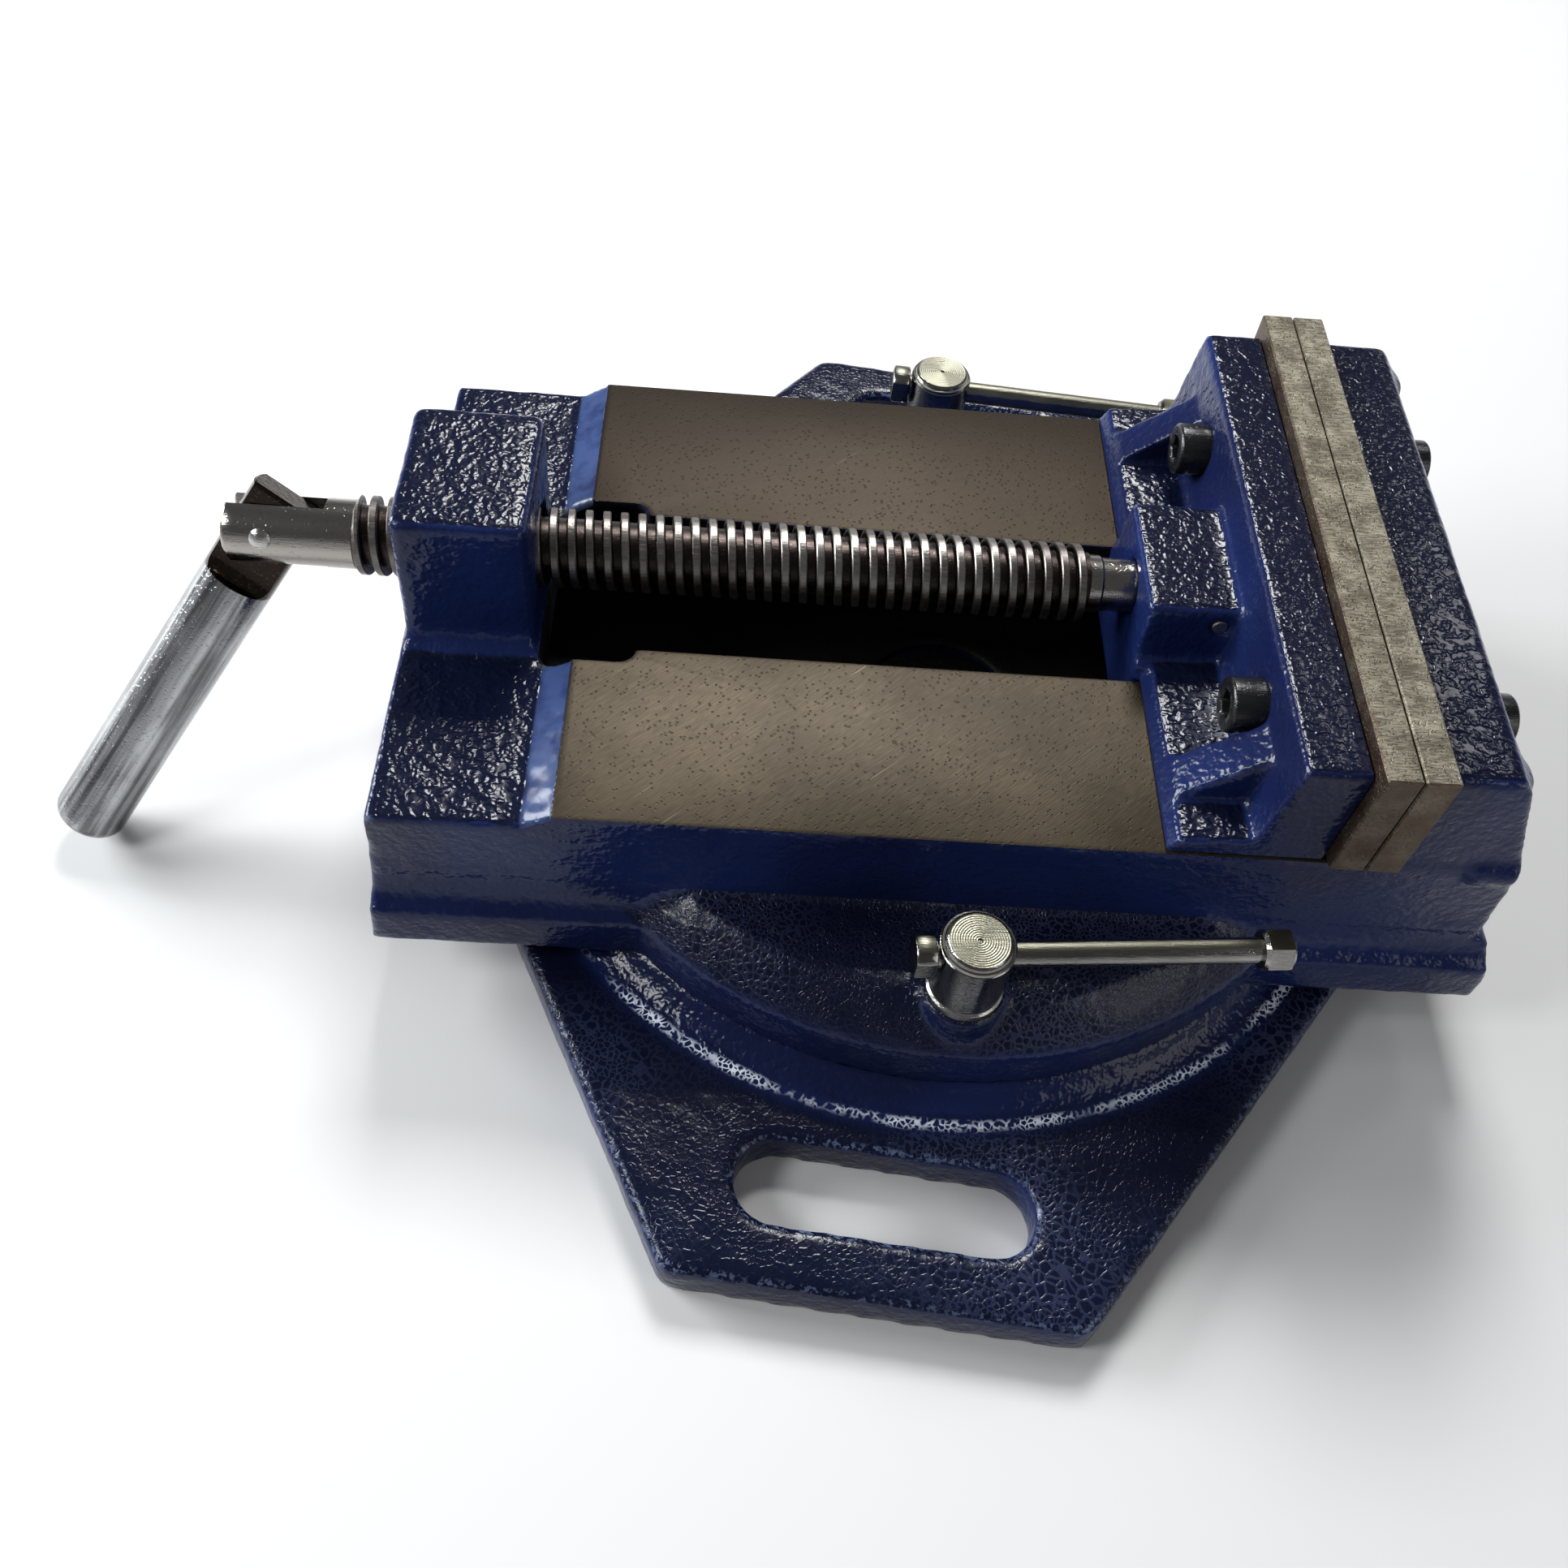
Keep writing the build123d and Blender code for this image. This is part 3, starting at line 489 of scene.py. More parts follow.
        # the ramp at the rails' start is painted a paler blue: painted light
        ramp = math2(tree, "MULTIPLY", smoothRange(tree, split.outputs["X"], *ground["rampLow"]),
                     smoothRange(tree, split.outputs["X"], *ground["rampHigh"], 1.0, 0.0))
        ramp = math2(tree, "MULTIPLY", ramp, math2(tree, "GREATER_THAN", split.outputs["Z"], ground["rampFoot"]))
        ramp = math2(tree, "MULTIPLY", ramp, math2(tree, "GREATER_THAN", up, 0.3))
        rampLight = smoothRange(tree, noiseAt(tree, place, 0.003), 0.25, 0.60, 0.15, 0.55)
        colour = mixColour(tree, math2(tree, "MULTIPLY", ramp, rampLight), colour, ground["rampLight"])
        rise = mixNumber(tree, ramp, rise, 0.0)
        away = math2(tree, "ABSOLUTE", math2(tree, "SUBTRACT", split.outputs["Z"], ground["railTop"]))
        onRail = math2(tree, "MULTIPLY", math2(tree, "LESS_THAN", away, ground["railBand"]),
                       math2(tree, "GREATER_THAN", up, 0.75))
        onRail = math2(tree, "MULTIPLY", onRail,
                       math2(tree, "GREATER_THAN", split.outputs["X"], ground["railStart"]))
        steelColour, steelHeight = groundSteel(tree, place, ground)
        colour = mixColour(tree, onRail, colour, steelColour)
        rise = mixNumber(tree, onRail, rise, steelHeight)
        roughness = mixNumber(tree, onRail, roughness, ground["roughness"])
        tree.links.new(math2(tree, "MULTIPLY", onRail, ground["metallic"]), shader.inputs["Metallic"])
    bump = addNode(tree, "ShaderNodeBump", {"Strength": 1.0, "Distance": settings["bumpDistance"], "Height": rise})
    tree.links.new(colour, shader.inputs["Base Color"])
    tree.links.new(roughness, shader.inputs["Roughness"])
    tree.links.new(bump.outputs[0], shader.inputs["Normal"])
    shader.inputs["Specular IOR Level"].default_value = settings["gloss"]
    return material


def groundSteel(tree, place, ground):
    # fine grinding lines that run at an angle, a few longer scratches, dense dark specks, and a slow stain
    turned = addNode(tree, "ShaderNodeMapping", {"Vector": place, "Rotation": (0.0, 0.0, -0.75)}).outputs[0]
    stretched = addNode(tree, "ShaderNodeMapping", {"Vector": turned, "Scale": (240.0, 3000.0, 3000.0)}).outputs[0]
    lines = addNode(tree, "ShaderNodeTexNoise", {"Vector": stretched, "Scale": 1.0, "Detail": 2.0}).outputs[0]
    long = addNode(tree, "ShaderNodeMapping", {"Vector": turned, "Scale": (45.0, 1500.0, 1500.0)}).outputs[0]
    scratch = addNode(tree, "ShaderNodeTexNoise", {"Vector": long, "Scale": 1.0, "Detail": 0.0}).outputs[0]
    scratch = smoothRange(tree, scratch, 0.79, 0.90)
    specks = smoothRange(tree, cellsAt(tree, place, 0.0014), 0.12, 0.26, 1.0, 0.0)
    stain = noiseAt(tree, place, 0.04)
    share = math2(tree, "ADD", math2(tree, "MULTIPLY", lines, 0.30), math2(tree, "MULTIPLY", stain, 0.70))
    colour = mixColour(tree, smoothRange(tree, share, 0.36, 0.66), ground["dark"], ground["light"])
    colour = mixColour(tree, math2(tree, "MULTIPLY", specks, 0.80), colour, ground["dark"])
    colour = mixColour(tree, math2(tree, "MULTIPLY", scratch, 0.30), colour, ground["scratched"])
    # the far rail is painted darker and browner: painted shade
    across = addNode(tree, "ShaderNodeSeparateXYZ", {0: place}).outputs["Y"]
    colour = mixColour(tree, smoothRange(tree, across, -0.010, 0.035, 0.0, 0.80), colour, ground["farRailShade"])
    rise = math2(tree, "SUBTRACT", math2(tree, "MULTIPLY", lines, 0.05), math2(tree, "MULTIPLY", specks, 0.10))
    return colour, rise


def metal(name, light, dark, roughness, metallic=1.0, lineScale=(220.0, 3200.0, 3200.0), spread=0.10,
          stainSize=0.012, bumpDepth=0.00006, speck=0.3, lineShare=0.2, milledFlatsAndShadedRoots=None, endStain=None,
          backStain=False, topTint=None, streaks=False, polished=None):
    # fine tool lines, dark specks, a slow stain in the colour, and roughness that varies along the lines;
    # the milled colour goes on milled flats and on thread roots, which are dark with oil and with painted shade;
    # endStain, topTint and polished are the colours of rusty ends, faces that look up and the parts that the
    # attribute shine marks
    material, tree, shader = newMaterial(name)
    coords = addNode(tree, "ShaderNodeTexCoord")
    place, facing = coords.outputs["Object"], coords.outputs["Normal"]
    if streaks:
        own = {"X": attributeOf(tree, "along"), "Y": attributeOf(tree, "across"), "Z": attributeOf(tree, "over")}
        place = addNode(tree, "ShaderNodeCombineXYZ", own).outputs[0]
    faces = addNode(tree, "ShaderNodeSeparateXYZ", {0: facing})
    stretched = addNode(tree, "ShaderNodeMapping", {"Vector": place, "Scale": lineScale}).outputs[0]
    lines = addNode(tree, "ShaderNodeTexNoise", {"Vector": stretched, "Scale": 1.0, "Detail": 2.0}).outputs[0]
    stain = noiseAt(tree, place, stainSize)
    share = math2(tree, "ADD", math2(tree, "MULTIPLY", lines, lineShare),
                  math2(tree, "MULTIPLY", stain, 1.0 - lineShare))
    colour = mixColour(tree, smoothRange(tree, share, 0.36, 0.66), dark, light)
    rough = smoothRange(tree, lines, 0.3, 0.7, max(roughness - spread / 2, 0.02), roughness + spread / 2)
    if topTint:
        upward = smoothRange(tree, faces.outputs["Z"], 0.85, 0.97)
        colour = mixColour(tree, upward, colour, topTint)
        rough = mixNumber(tree, upward, rough, roughness + 0.24)
    if milledFlatsAndShadedRoots:
        colour = mixColour(tree, smoothRange(tree, attributeOf(tree, "milledFlatsAndShadedRoots"), 0.45, 0.55), colour, milledFlatsAndShadedRoots)
    if polished:
        shine = attributeOf(tree, "shine")
        colour = mixColour(tree, shine, colour, polished)
        rough = mixNumber(tree, shine, rough, 0.45 * roughness)
    if endStain:
        stained = smoothRange(tree, math2(tree, "ABSOLUTE", faces.outputs["Y"]), 0.5, 0.8)
        if backStain:
            stained = math2(tree, "MAXIMUM", stained, smoothRange(tree, faces.outputs["X"], -0.8, -0.5, 1.0, 0.0))
        blotch = smoothRange(tree, noiseAt(tree, place, 0.004), 0.25, 0.75, 0.55, 1.0)
        colour = mixColour(tree, math2(tree, "MULTIPLY", stained, blotch), colour, endStain)
    specks = smoothRange(tree, noiseAt(tree, place, 0.0004, detail=1.0), 0.58, 0.70)
    colour = mixColour(tree, math2(tree, "MULTIPLY", specks, speck), colour, dark)
    tree.links.new(colour, shader.inputs["Base Color"])
    tree.links.new(rough, shader.inputs["Roughness"])
    height = math2(tree, "SUBTRACT", lines, math2(tree, "MULTIPLY", specks, 1.5 * speck))
    bump = addNode(tree, "ShaderNodeBump", {"Strength": 1.0, "Distance": bumpDepth, "Height": height})
    tree.links.new(bump.outputs[0], shader.inputs["Normal"])
    shader.inputs["Metallic"].default_value = metallic
    return material


placeCamera(cameraSettings)
lightStudio(lightSettings, skySettings)
print("camera and lights placed")

bodyPaint = enamel("bodyEnamel", paintSettings, 0.0017, 0.11, 0.0446, (-0.01, 0.1070), machined=True)
basePaint = enamel("baseEnamel", paintSettings, 0.0022, 0.08, 0.200, (0.1135, 1.0))
jawPaint = enamel("jawEnamel", paintSettings, 0.0024, 0.2, 0.0, (-0.01, 1.0))
for node, paint in (("swivel_base", basePaint), ("vise_body", bodyPaint), ("movable_jaw", jawPaint)):
    castSkin(node, castSettings[node], paint)

plateLook = dict(lineScale=(420.0, 2400.0, 2400.0), stainSize=0.0035, bumpDepth=0.00014, speck=0.55,
                 lineShare=0.45, metallic=0.85)
jawSteel = metal("fixedPlateSteel", (0.26, 0.24, 0.185, 1), (0.095, 0.083, 0.060, 1), 0.42,
                 endStain=(0.070, 0.042, 0.026, 1), **plateLook)
movableSteel = metal("movablePlateSteel", (0.23, 0.21, 0.160, 1), (0.085, 0.072, 0.052, 1), 0.42,
                     endStain=(0.050, 0.026, 0.017, 1), backStain=True, **plateLook)
screwSteel = metal("turnedScrewSteel", (0.25, 0.235, 0.22, 1), (0.12, 0.105, 0.097, 1), 0.36, speck=0.25,
                   spread=0.10, lineShare=0.25, bumpDepth=0.00004, milledFlatsAndShadedRoots=(0.034, 0.026, 0.0235, 1),
                   polished=(0.34, 0.32, 0.295, 1))
pinSteel = metal("rivetedPinSteel", (0.50, 0.49, 0.47, 1), (0.30, 0.29, 0.28, 1), 0.20, speck=0.2)
zincSteel = metal("zincPlate", (0.43, 0.44, 0.45, 1), (0.125, 0.125, 0.13, 1), 0.15, speck=0.30, stainSize=0.010,
                  lineShare=0.62, milledFlatsAndShadedRoots=(0.050, 0.037, 0.029, 1), lineScale=(26.0, 620.0, 620.0), streaks=True)
nutSteel = metal("brightNickel", (0.36, 0.35, 0.33, 1), (0.20, 0.195, 0.185, 1), 0.12, speck=0.1,
                 topTint=(0.13, 0.127, 0.098, 1))
blackSteel = metal("blackOxide", (0.012, 0.012, 0.013, 1), (0.006, 0.006, 0.007, 1), 0.24, metallic=0.2)
plainSteel = metal("machinedSteel", (0.40, 0.38, 0.35, 1), (0.28, 0.26, 0.23, 1), 0.36)
finishOf = {"jaw_steel": jawSteel, "screw_chrome": screwSteel, "zinc_steel": zincSteel, "nut_chrome": nutSteel,
            "black_oxide": blackSteel, "plain_steel": plainSteel}


# the screw: a square thread on a sheared grid, the fork's two cheeks, and the journal

screwSettings = {"pitch": 0.0254 / 6, "crestRadius": 0.009525, "rootRadius": 0.007225, "crestShare": 0.46,
                 "threadStart": -0.1485, "threadEnd": 0.0289, "around": 72, "forkStart": -0.1785,
                 "forkRadius": 0.00835, "slotEnd": -0.1549, "slotHalf": 0.0044, "journalRadius": 0.0065,
                 "grooveAt": 0.0580, "grooveHalf": 0.0023, "grooveRadius": 0.0043, "tip": 0.0647, "edge": 0.00026}
recordJoints = {j["name"]: j for j in frame["record"]["behaviour"]["joints"]}
screwLine = np.array(recordJoints["screw_spin"]["pos_m"]) * (0, 1, 1)
pivot = np.array(recordJoints["handle_fold"]["pos_m"])
pinWay = np.array(recordJoints["handle_fold"]["axis"])
alongX = np.array([1.0, 0.0, 0.0])
pinAcross = np.cross(alongX, pinWay)


def threadPhase(s):
    # where the crest crosses angle 0, averaged over the CAD thread's outermost points
    points = meshArrays(nodeObjects["lead_screw"].data)[0] - screwLine
    angle, radius = np.arctan2(points[:, 2], points[:, 1]), np.hypot(points[:, 1], points[:, 2])
    crest = radius > s["crestRadius"] - 0.0001
    turns = points[crest, 0] / s["pitch"] * 2 * np.pi - angle[crest]
    return np.arctan2(np.sin(turns).mean(), np.cos(turns).mean()) / (2 * np.pi) * s["pitch"]


def threadShell(s):
    # over one pitch the radius goes root, crest, root; a point at turn u and share f of the pitch lies at
    # x = x0 + pitch * (u + f), angle 2 pi u, so each turn's last column is the next turn's first
    low, high = 0.5 - s["crestShare"] / 2, 0.5 + s["crestShare"] / 2
    bevel = s["edge"] / s["pitch"]
    share = np.array([0.0, low - 0.004 - bevel, low - 0.004, low, low + bevel, 0.5,
                      high - bevel, high, high + 0.004, high + 0.004 + bevel, 1.0])
    root, crest, edge = s["rootRadius"], s["crestRadius"], s["edge"]
    height = np.array([root, root, root + edge, crest - edge, crest, crest,
                       crest, crest - edge, root + edge, root, root])
    offset = threadPhase(s) - 0.5 * s["pitch"]
    firstTurn = math.floor((s["threadStart"] - offset) / s["pitch"]) - 1
    lastTurn = math.ceil((s["threadEnd"] - offset) / s["pitch"]) + 1
    u = np.arange(firstTurn * s["around"], lastTurn * s["around"] + 1) / s["around"]
    x = np.clip(offset + s["pitch"] * (u[:, None] + share[None, :]), s["threadStart"], s["threadEnd"])
    inside = np.minimum(x - s["threadStart"], s["threadEnd"] - x)
    radius = np.minimum(height[None, :], root + inside * 2.2)
    angle = 2 * np.pi * u[:, None]
    points = np.stack([x, radius * np.cos(angle), radius * np.sin(angle)], -1) + screwLine
    index = np.arange(points.shape[0] * points.shape[1]).reshape(points.shape[:2])
    faces = np.stack([index[:-1, :-1], index[1:, :-1], index[1:, 1:], index[:-1, 1:]], -1).reshape(-1, 4)
    # the roots and flanks are painted dark brown: oil, with painted shade in the roots
    paintedShade = np.clip((crest - radius) / (crest - root) * 1.15, 0, 1) * np.ones_like(x)
    return (points.reshape(-1, 3), faces.tolist()), paintedShade.ravel()


def cheekShell(s, way):
    # a cheek of the fork: the part of a disc beyond the slot, an arc and its chord, carried along X;
    # at the open end the outline shrinks towards its middle to leave a chamfer
    limit = math.acos(s["slotHalf"] / s["forkRadius"])
    angle = np.linspace(-limit, limit, 33)
    arc = np.stack([np.cos(angle), np.sin(angle)], 1) * s["forkRadius"]
    chord = np.stack([np.full(15, s["slotHalf"]), np.linspace(arc[-1, 1], arc[0, 1], 17)[1:-1]], 1)
    outline = np.concatenate([arc, chord])
    middle = np.array([0.5 * (s["slotHalf"] + s["forkRadius"]), 0.0])
    stations = np.array([0.0, 0.00035, 0.0008, 0.0030, 0.0120, s["slotEnd"] - s["forkStart"] + 0.0006])
    shrink = np.array([0.80, 0.93, 1.0, 1.0, 1.0, 1.0])
    flat = middle + shrink[:, None, None] * (outline - middle)
    flat[:2, :, 0] = np.maximum(flat[:2, :, 0], s["slotHalf"])
    rings = (screwLine + (s["forkStart"] + stations)[:, None, None] * alongX
             + flat[:, :, :1] * way * pinWay + flat[:, :, 1:] * pinAcross)
    return ringShell(rings)


def makeScrew(s):
    fork, journal = s["forkRadius"], s["journalRadius"]
    collar = [(s["slotEnd"], 0.0), (s["slotEnd"], fork), (s["threadStart"] + 0.0004, fork),
              (s["threadStart"] + 0.0008, fork - 0.0003), (s["threadStart"] + 0.0011, s["rootRadius"] - 0.0002),
              (s["threadStart"] + 0.0013, 0.0)]
    end = s["threadEnd"]
    relief = s["rootRadius"] - 0.0002
    grooveStart, grooveEnd = s["grooveAt"] - s["grooveHalf"], s["grooveAt"] + s["grooveHalf"]
    neck = [(end - 0.0004, 0.0), (end - 0.0002, relief), (end + 0.0028, relief), (end + 0.0034, journal),
            (grooveStart, journal), (grooveStart, s["grooveRadius"]), (grooveEnd, s["grooveRadius"]),
            (grooveEnd, journal), (s["tip"] - 0.0008, journal), (s["tip"], journal - 0.0008), (s["tip"], 0.0)]
    side = np.array([0.0, 1.0, 0.0])
    thread, paintedShade = threadShell(s)
    shells = [thread, cheekShell(s, 1), cheekShell(s, -1),
              turnedShell(screwLine, alongX, side, collar), turnedShell(screwLine, alongX, side, neck)]
    rest = sum(len(shell[0]) for shell in shells[1:])
    numpyPiece("leadScrew", shells, screwSteel, "lead_screw", sharpAngle=30.0,
               attributes={"milledFlatsAndShadedRoots": np.concatenate([paintedShade, np.zeros(rest)]),
                           "shine": np.concatenate([np.zeros(len(paintedShade)), np.ones(rest)])})


makeScrew(screwSettings)


# the folding handle, a bar with two milled flats, and its riveted pin

handleSettings = {"radius": 0.0088, "fold": 57.0, "lugEnd": -0.0098, "tip": 0.0990, "flatHalf": 0.0040,
                  "shoulder": 0.0120, "runOut": 0.0030, "tipRound": 0.0045, "edge": 0.0005}
pinSettings = {"radius": 0.0025, "reach": 0.00870, "domeRise": 0.00080}


def makeHandle(s):
    # across the bar the outline is a circle cut off at plus and minus flat(s), by arcs and chords that share
    # their corner points; flat grows along the cutter's arc at the shoulder and is the full radius past it
    fold = math.radians(s["fold"])
    way = -math.cos(fold) * alongX + math.sin(fold) * pinAcross
    across = np.cross(way, pinWay)
    bend = np.linspace(0, 0.5 * np.pi, 9)
    shoulder = s["shoulder"] + s["runOut"] * np.sin(bend)
    shoulderFlat = s["flatHalf"] + s["runOut"] * (1 - np.cos(bend))
    body = np.linspace(shoulder[-1], s["tip"] - s["tipRound"], 26)
    nose = np.linspace(0, 0.5 * np.pi, 9)[1:]
    station = np.concatenate([[s["lugEnd"], s["lugEnd"] + s["edge"]], np.linspace(-0.0085, s["shoulder"], 9)[:-1],
                              shoulder, body, s["tip"] - s["tipRound"] * (1 - np.sin(nose))])
    radius = np.concatenate([[s["radius"] - s["edge"]], np.full(len(station) - 1 - len(nose), s["radius"]),
                             s["radius"] - s["tipRound"] * (1 - np.cos(nose))])
    flat = np.concatenate([[s["flatHalf"] - s["edge"] * 0.5], np.full(9, s["flatHalf"]), shoulderFlat,
                           np.full(len(body) + len(nose), 1.0)])
    corner = np.arcsin(np.minimum(flat / radius, 1.0))
    share = np.linspace(-1, 1, 25)
    arc = corner[:, None] * share[None, :]
    halfChord = radius * np.cos(corner)
    chordShare = np.linspace(1, -1, 13)[1:-1]
    right = np.stack([radius[:, None] * np.cos(arc), radius[:, None] * np.sin(arc)], -1)
    topLine = np.stack([halfChord[:, None] * chordShare, (radius * np.sin(corner))[:, None] * np.ones(11)], -1)
    outline = np.concatenate([right, topLine, -right, -topLine], axis=1)
    rings = pivot + station[:, None, None] * way + outline[:, :, :1] * across + outline[:, :, 1:] * pinWay
    points, faces = ringShell(rings)
    cut = np.repeat((flat < s["radius"] - 0.0005).astype(float), outline.shape[1])
    onFlat = np.tile(np.concatenate([np.zeros(25), np.ones(11), np.zeros(25), np.ones(11)]), len(station))
    local = points - pivot
    numpyPiece("foldingHandle", [(points, faces)], zincSteel, "screw_handle",
               attributes={"milledFlatsAndShadedRoots": np.concatenate([np.maximum(cut * 0.9, cut * onFlat), [1.0, 0.0]]),
                           "along": local @ way, "across": local @ across, "over": local @ pinWay})


def makePin(s):
    # each end is a dome: station = reach + rise * (1 - t^2) at radius * t
    dome = [(s["reach"] + s["domeRise"] * (1 - t * t), s["radius"] * t) for t in np.linspace(0.0, 1.0, 7)]
    profile = [*[(-station, radius) for station, radius in dome], *reversed(dome)]
    numpyPiece("handlePin", [turnedShell(pivot, pinWay, alongX, profile, 48)], pinSteel, "handle_pin")


makeHandle(handleSettings)
makePin(pinSettings)


# cap screws with hexagon sockets

capSettings = {"headRadius": 0.0065, "headLength": 0.0085, "shankRadius": 0.0040, "socketRadius": 0.0030,
               "socketDepth": 0.0040, "edge": 0.0006}


def capScrewShell(seat, axis, side, length, s):
    # axis points from the head's top to the tip; stations count from the head's seat
    top = -s["headLength"]
    hexagon, head, edge = s["socketRadius"], s["headRadius"], s["edge"]
    profile = [(top + s["socketDepth"] + 0.0008, 0.0), (top + s["socketDepth"], hexagon * 0.98, 1.0),
               (top + 0.0004, hexagon, 1.0), (top, hexagon * 1.22, 0.0), (top, head - 1.5 * edge),
               (top + 0.3 * edge, head - 0.7 * edge), (top + edge, head - 0.1 * edge), (top + 1.4 * edge, head),
               (-edge * 0.5, head), (0.0, head - edge * 0.5), (0.0, s["shankRadius"]),
               (length - edge, s["shankRadius"]), (length, s["shankRadius"] - edge), (length, 0.0)]
    return turnedShell(seat, axis, side, profile, 72, hexOutline)


def makeCapScrews(node, name, axisIndex, way, headAtHigh):
    # the two screws of a node: their line is read from the halves of its box
    low, high = (np.array(corner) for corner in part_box(node))
    axis = np.zeros(3)
    axis[axisIndex] = way
    side = np.array([0.0, 0.0, 1.0]) if axisIndex == 0 else alongX
    spread = 1 if axisIndex == 0 else 0
    s = capSettings
    shells = []
    for sign in (-1, 1):
        seat = 0.5 * (low + high)
        seat[spread] += sign * (0.5 * (high[spread] - low[spread]) - s["headRadius"])
        headTop = high[axisIndex] if headAtHigh else low[axisIndex]
        seat[axisIndex] = headTop + way * s["headLength"]
        length = high[axisIndex] - low[axisIndex] - s["headLength"]
        shells.append(capScrewShell(seat, axis, side, length, s))
    numpyPiece(name, shells, blackSteel, node)


makeCapScrews("fixed_jaw_screws", "fixedJawScrews", 0, -1, True)
makeCapScrews("movable_jaw_screws", "movableJawScrews", 0, 1, False)
makeCapScrews("keeper_screws", "keeperScrews", 2, 1, False)


# clamp nuts with turned tops, and their tommy bars

nutSettings = {"radius": 0.00855, "chamfer": 0.0018, "foot": 0.0007, "ringHeight": 0.000025, "rings": 12,
               "boltRadius": 0.00506, "boreTop": 0.0540, "holeRadius": 0.00306, "drillReach": 0.012,
               "pitShare": 0.08, "pitDepth": 0.0004,
               "sharpAngle": 24.0}
barSettings = {"radius": 0.0030, "leftStart": -0.0089, "leftLength": 0.0050, "leftRadius": 0.0052,
               "leftFlat": 0.0042, "end": 0.0717, "rightLength": 0.0070, "rightHalf": 0.0045, "edge": 0.0005}


def flattened(angle):
    # the left head's outline: a circle cut off by two flats that face along the side direction
    s = barSettings
    return np.minimum(1.0, s["leftFlat"] / s["leftRadius"] / np.maximum(np.abs(np.cos(angle)), 1e-6))


def drillHole(nut, bar, barWay, barSide):
    # the cross hole that the tommy bar slides in
    reach, radius = nutSettings["drillReach"], nutSettings["holeRadius"]
    drill = bpy.data.meshes.new("drill")
    drillPoints, drillFaces = turnedShell(bar, barWay, barSide, [(-reach, radius), (reach, radius)], 48)
    drill.from_pydata(drillPoints.tolist(), [], drillFaces)
    driller = bpy.data.objects.new("drill", drill)
    cut = nut.modifiers.new("hole", "BOOLEAN")
    cut.operation = "DIFFERENCE"
    cut.solver = "EXACT"
    cut.object = driller
    bpy.context.scene.collection.objects.link(driller)
    applyModifiers(nut)
    bpy.data.objects.remove(driller)
    nut.data.set_sharp_from_angle(angle=math.radians(nutSettings["sharpAngle"]))


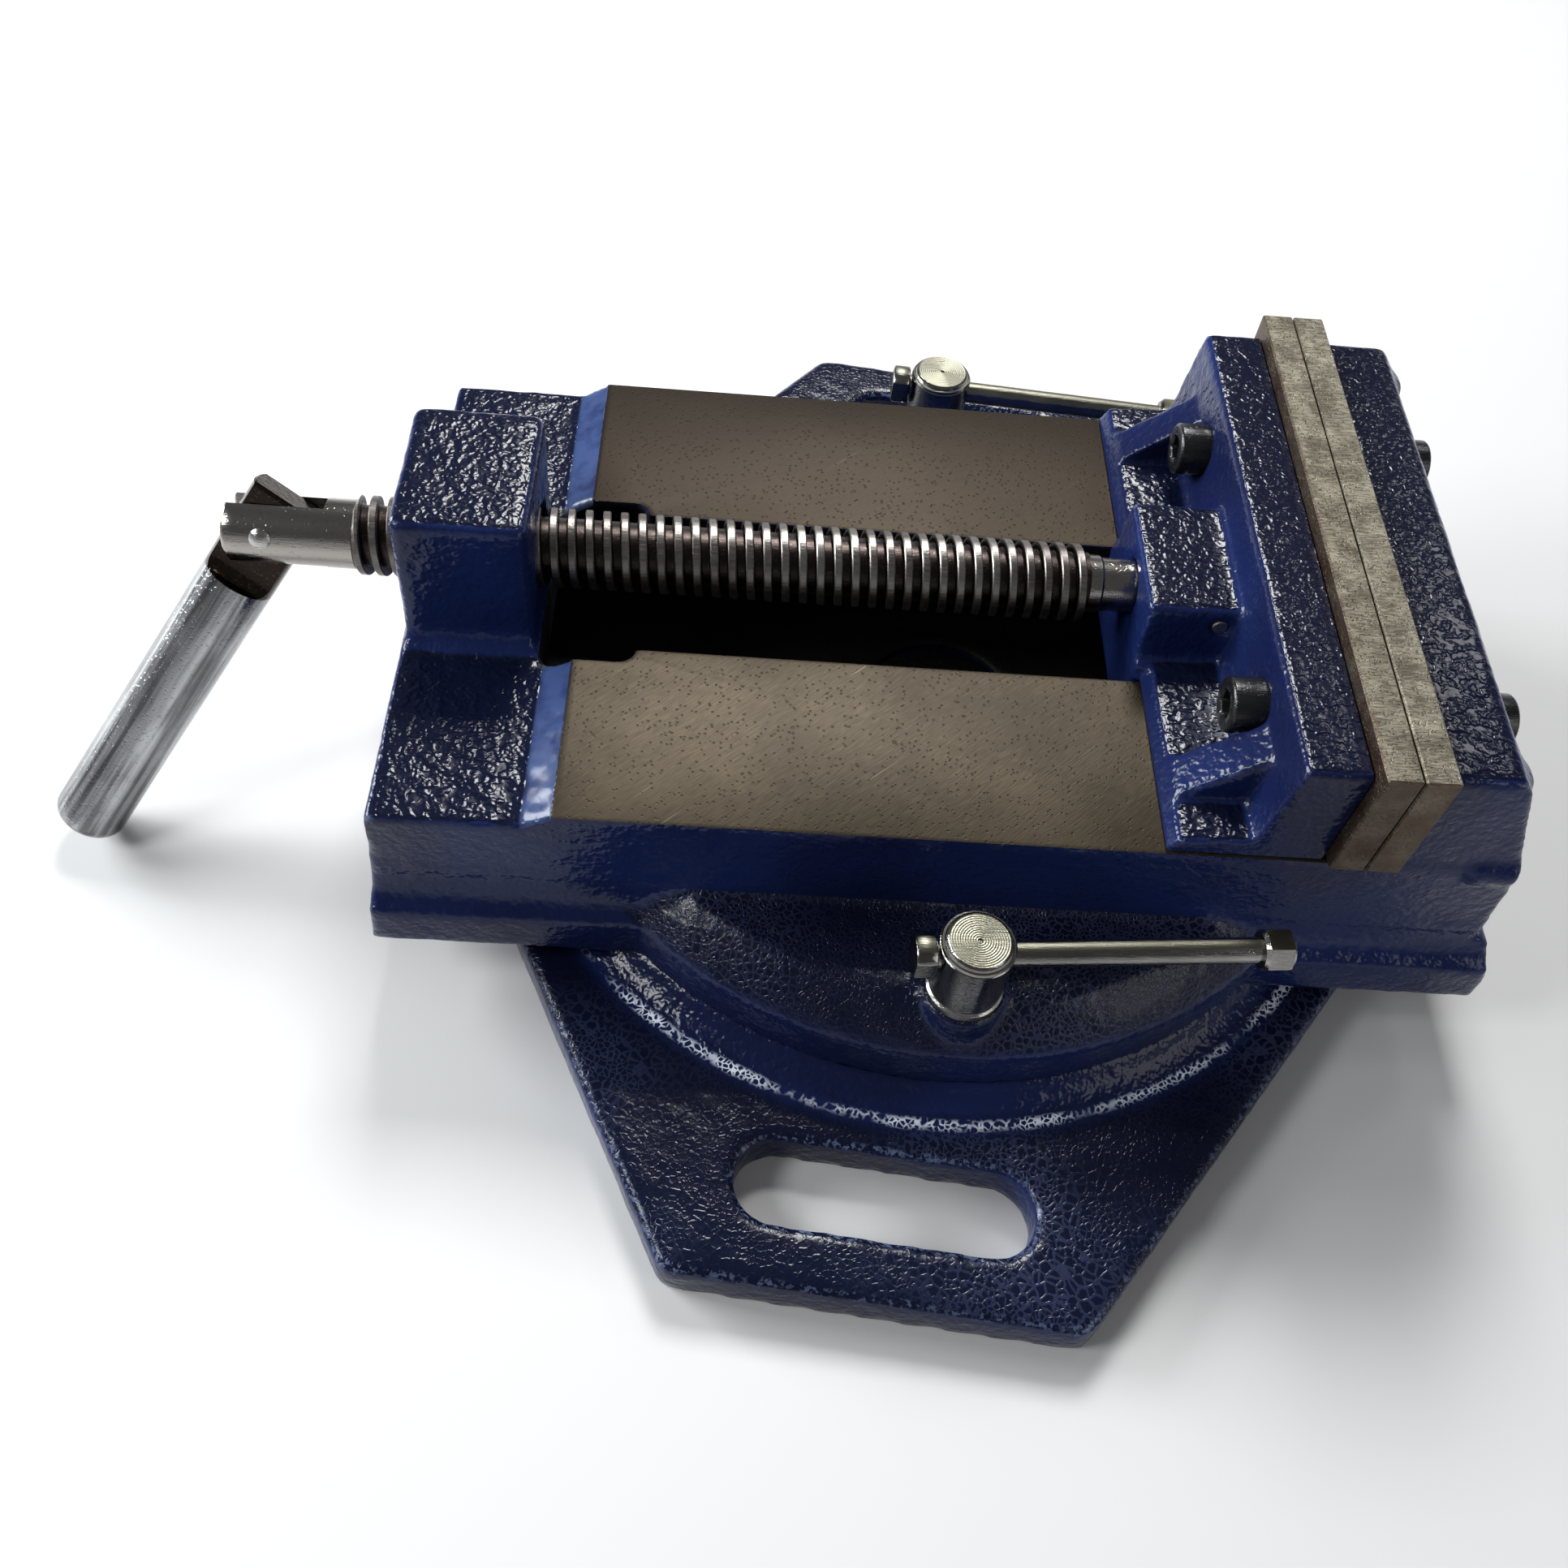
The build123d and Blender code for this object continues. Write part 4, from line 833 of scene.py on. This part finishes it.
def makeClamp(end):
    s = nutSettings
    nutNode = end + "_clamp_nut"
    low, high = (np.array(corner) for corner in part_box(nutNode))
    middle = 0.5 * (low + high) * (1, 1, 0)
    bottom, top, radius = low[2], high[2], s["radius"]
    barWay = np.array(recordJoints[end + "_bar_slide"]["axis"])
    barSide = np.cross((0.0, 0.0, 1.0), barWay)
    bar = np.array([middle[0], middle[1], 0.5 * sum(c[2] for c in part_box(end + "_bar_knob"))])
    # the top is a wave of shallow rings round a small pit: height = ringHeight * cos(2 pi * ring number)
    t = np.linspace(0.0, 1.0, s["rings"] * 6 + 1)[::-1]
    flatRadius = radius - s["chamfer"]
    wave = s["ringHeight"] * (1 - np.cos(2 * np.pi * t * s["rings"]))
    ringTop = list(zip(top - wave - np.where(t < s["pitShare"], s["pitDepth"], 0.0), flatRadius * t))
    side = [(bottom, s["boltRadius"]), (bottom, radius - s["foot"]), (bottom + s["foot"], radius),
            (top - s["chamfer"] * 1.05, radius), (top - s["chamfer"] * 0.95, radius - 0.00025),
            (top - s["chamfer"] * 0.60, radius - 0.00045), (top - s["chamfer"] * 0.50, radius - 0.00090),
            (top - s["chamfer"] * 0.20, radius - 0.00120), (top - s["chamfer"] * 0.08, radius - 0.00165)]
    bore = [(s["boreTop"] + 0.0012, 0.0), (s["boreTop"], s["boltRadius"])]
    profile = [*bore, *side, *ringTop]
    nut = numpyPiece(end + "ClampNut", [turnedShell(middle, (0, 0, 1), barWay, profile, 96)], nutSteel, nutNode,
                     sharpAngle=s["sharpAngle"])
    drillHole(nut, bar, barWay, barSide)

    b = barSettings
    e, left = b["edge"], b["leftStart"]
    leftEnd = left - b["leftLength"]
    barProfile = [(leftEnd + 0.0007, 0.0), (leftEnd + 0.0004, b["leftRadius"] * 0.45, 1.0),
                  (leftEnd, b["leftRadius"] - 1.6 * e, 1.0), (leftEnd + 0.3 * e, b["leftRadius"] - 0.6 * e, 1.0),
                  (leftEnd + 1.2 * e, b["leftRadius"], 1.0), (left - 1.2 * e, b["leftRadius"], 1.0),
                  (left - 0.3 * e, b["leftRadius"] - 0.6 * e, 1.0), (left, b["leftRadius"] - 1.6 * e, 0.6),
                  (left, b["radius"] + 0.3 * e, 0.0), (left + 0.3 * e, b["radius"], 0.0),
                  (b["end"] - 0.0006, b["radius"], 0.0), (b["end"] - 0.0006, 0.0)]
    numpyPiece(end + "ClampBar", [turnedShell(bar, barWay, barSide, barProfile, 72, flattened)], nutSteel,
               end + "_clamp_bar")
    start, half = b["end"] - b["rightLength"], b["rightHalf"]
    knob = [(start, b["radius"] + 0.0001), (start, half * 0.92), (start + 0.0008, half * 1.04, 0.5),
            (start + 0.0014, half, 1.0), (b["end"] - 0.0014, half, 1.0), (b["end"] - 0.0007, half * 1.03, 0.5),
            (b["end"], half * 0.90), (b["end"], b["radius"] + 0.0004), (b["end"] - 0.0005, b["radius"] + 0.0001),
            (b["end"] - 0.0004, 0.0)]
    numpyPiece(end + "BarKnob", [turnedShell(bar, barWay, barSide, knob, 72, hexOutline)], nutSteel,
               end + "_bar_knob")


for end in ("near", "far"):
    makeClamp(end)


# nodes whose CAD shape is right keep it, with a finish of their own
ownFinish = {"movable_jaw_plate": movableSteel, "clamp_washers": pinSteel}
for node, item in nodeObjects.items():
    if slotOf[node] in finishOf:
        item.data.materials.clear()
        item.data.materials.append(ownFinish.get(node, finishOf[slotOf[node]]))


floorSettings = {"half": 1.4, "drop": 0.0004, "colour": (0.54, 0.54, 0.54, 1.0), "roughness": 0.8}


def layFloor(settings):
    half, drop = settings["half"], -settings["drop"]
    mesh = bpy.data.meshes.new("floor")
    mesh.from_pydata([(-half, -half, drop), (half, -half, drop), (half, half, drop), (-half, half, drop)],
                     [], [(0, 1, 2, 3)])
    floor = bpy.data.objects.new("floor", mesh)
    bpy.context.scene.collection.objects.link(floor)
    material, tree, shader = newMaterial("paleFloor")
    shader.inputs["Base Color"].default_value = settings["colour"]
    shader.inputs["Roughness"].default_value = settings["roughness"]
    mesh.materials.append(material)


layFloor(floorSettings)

print("pieces done")
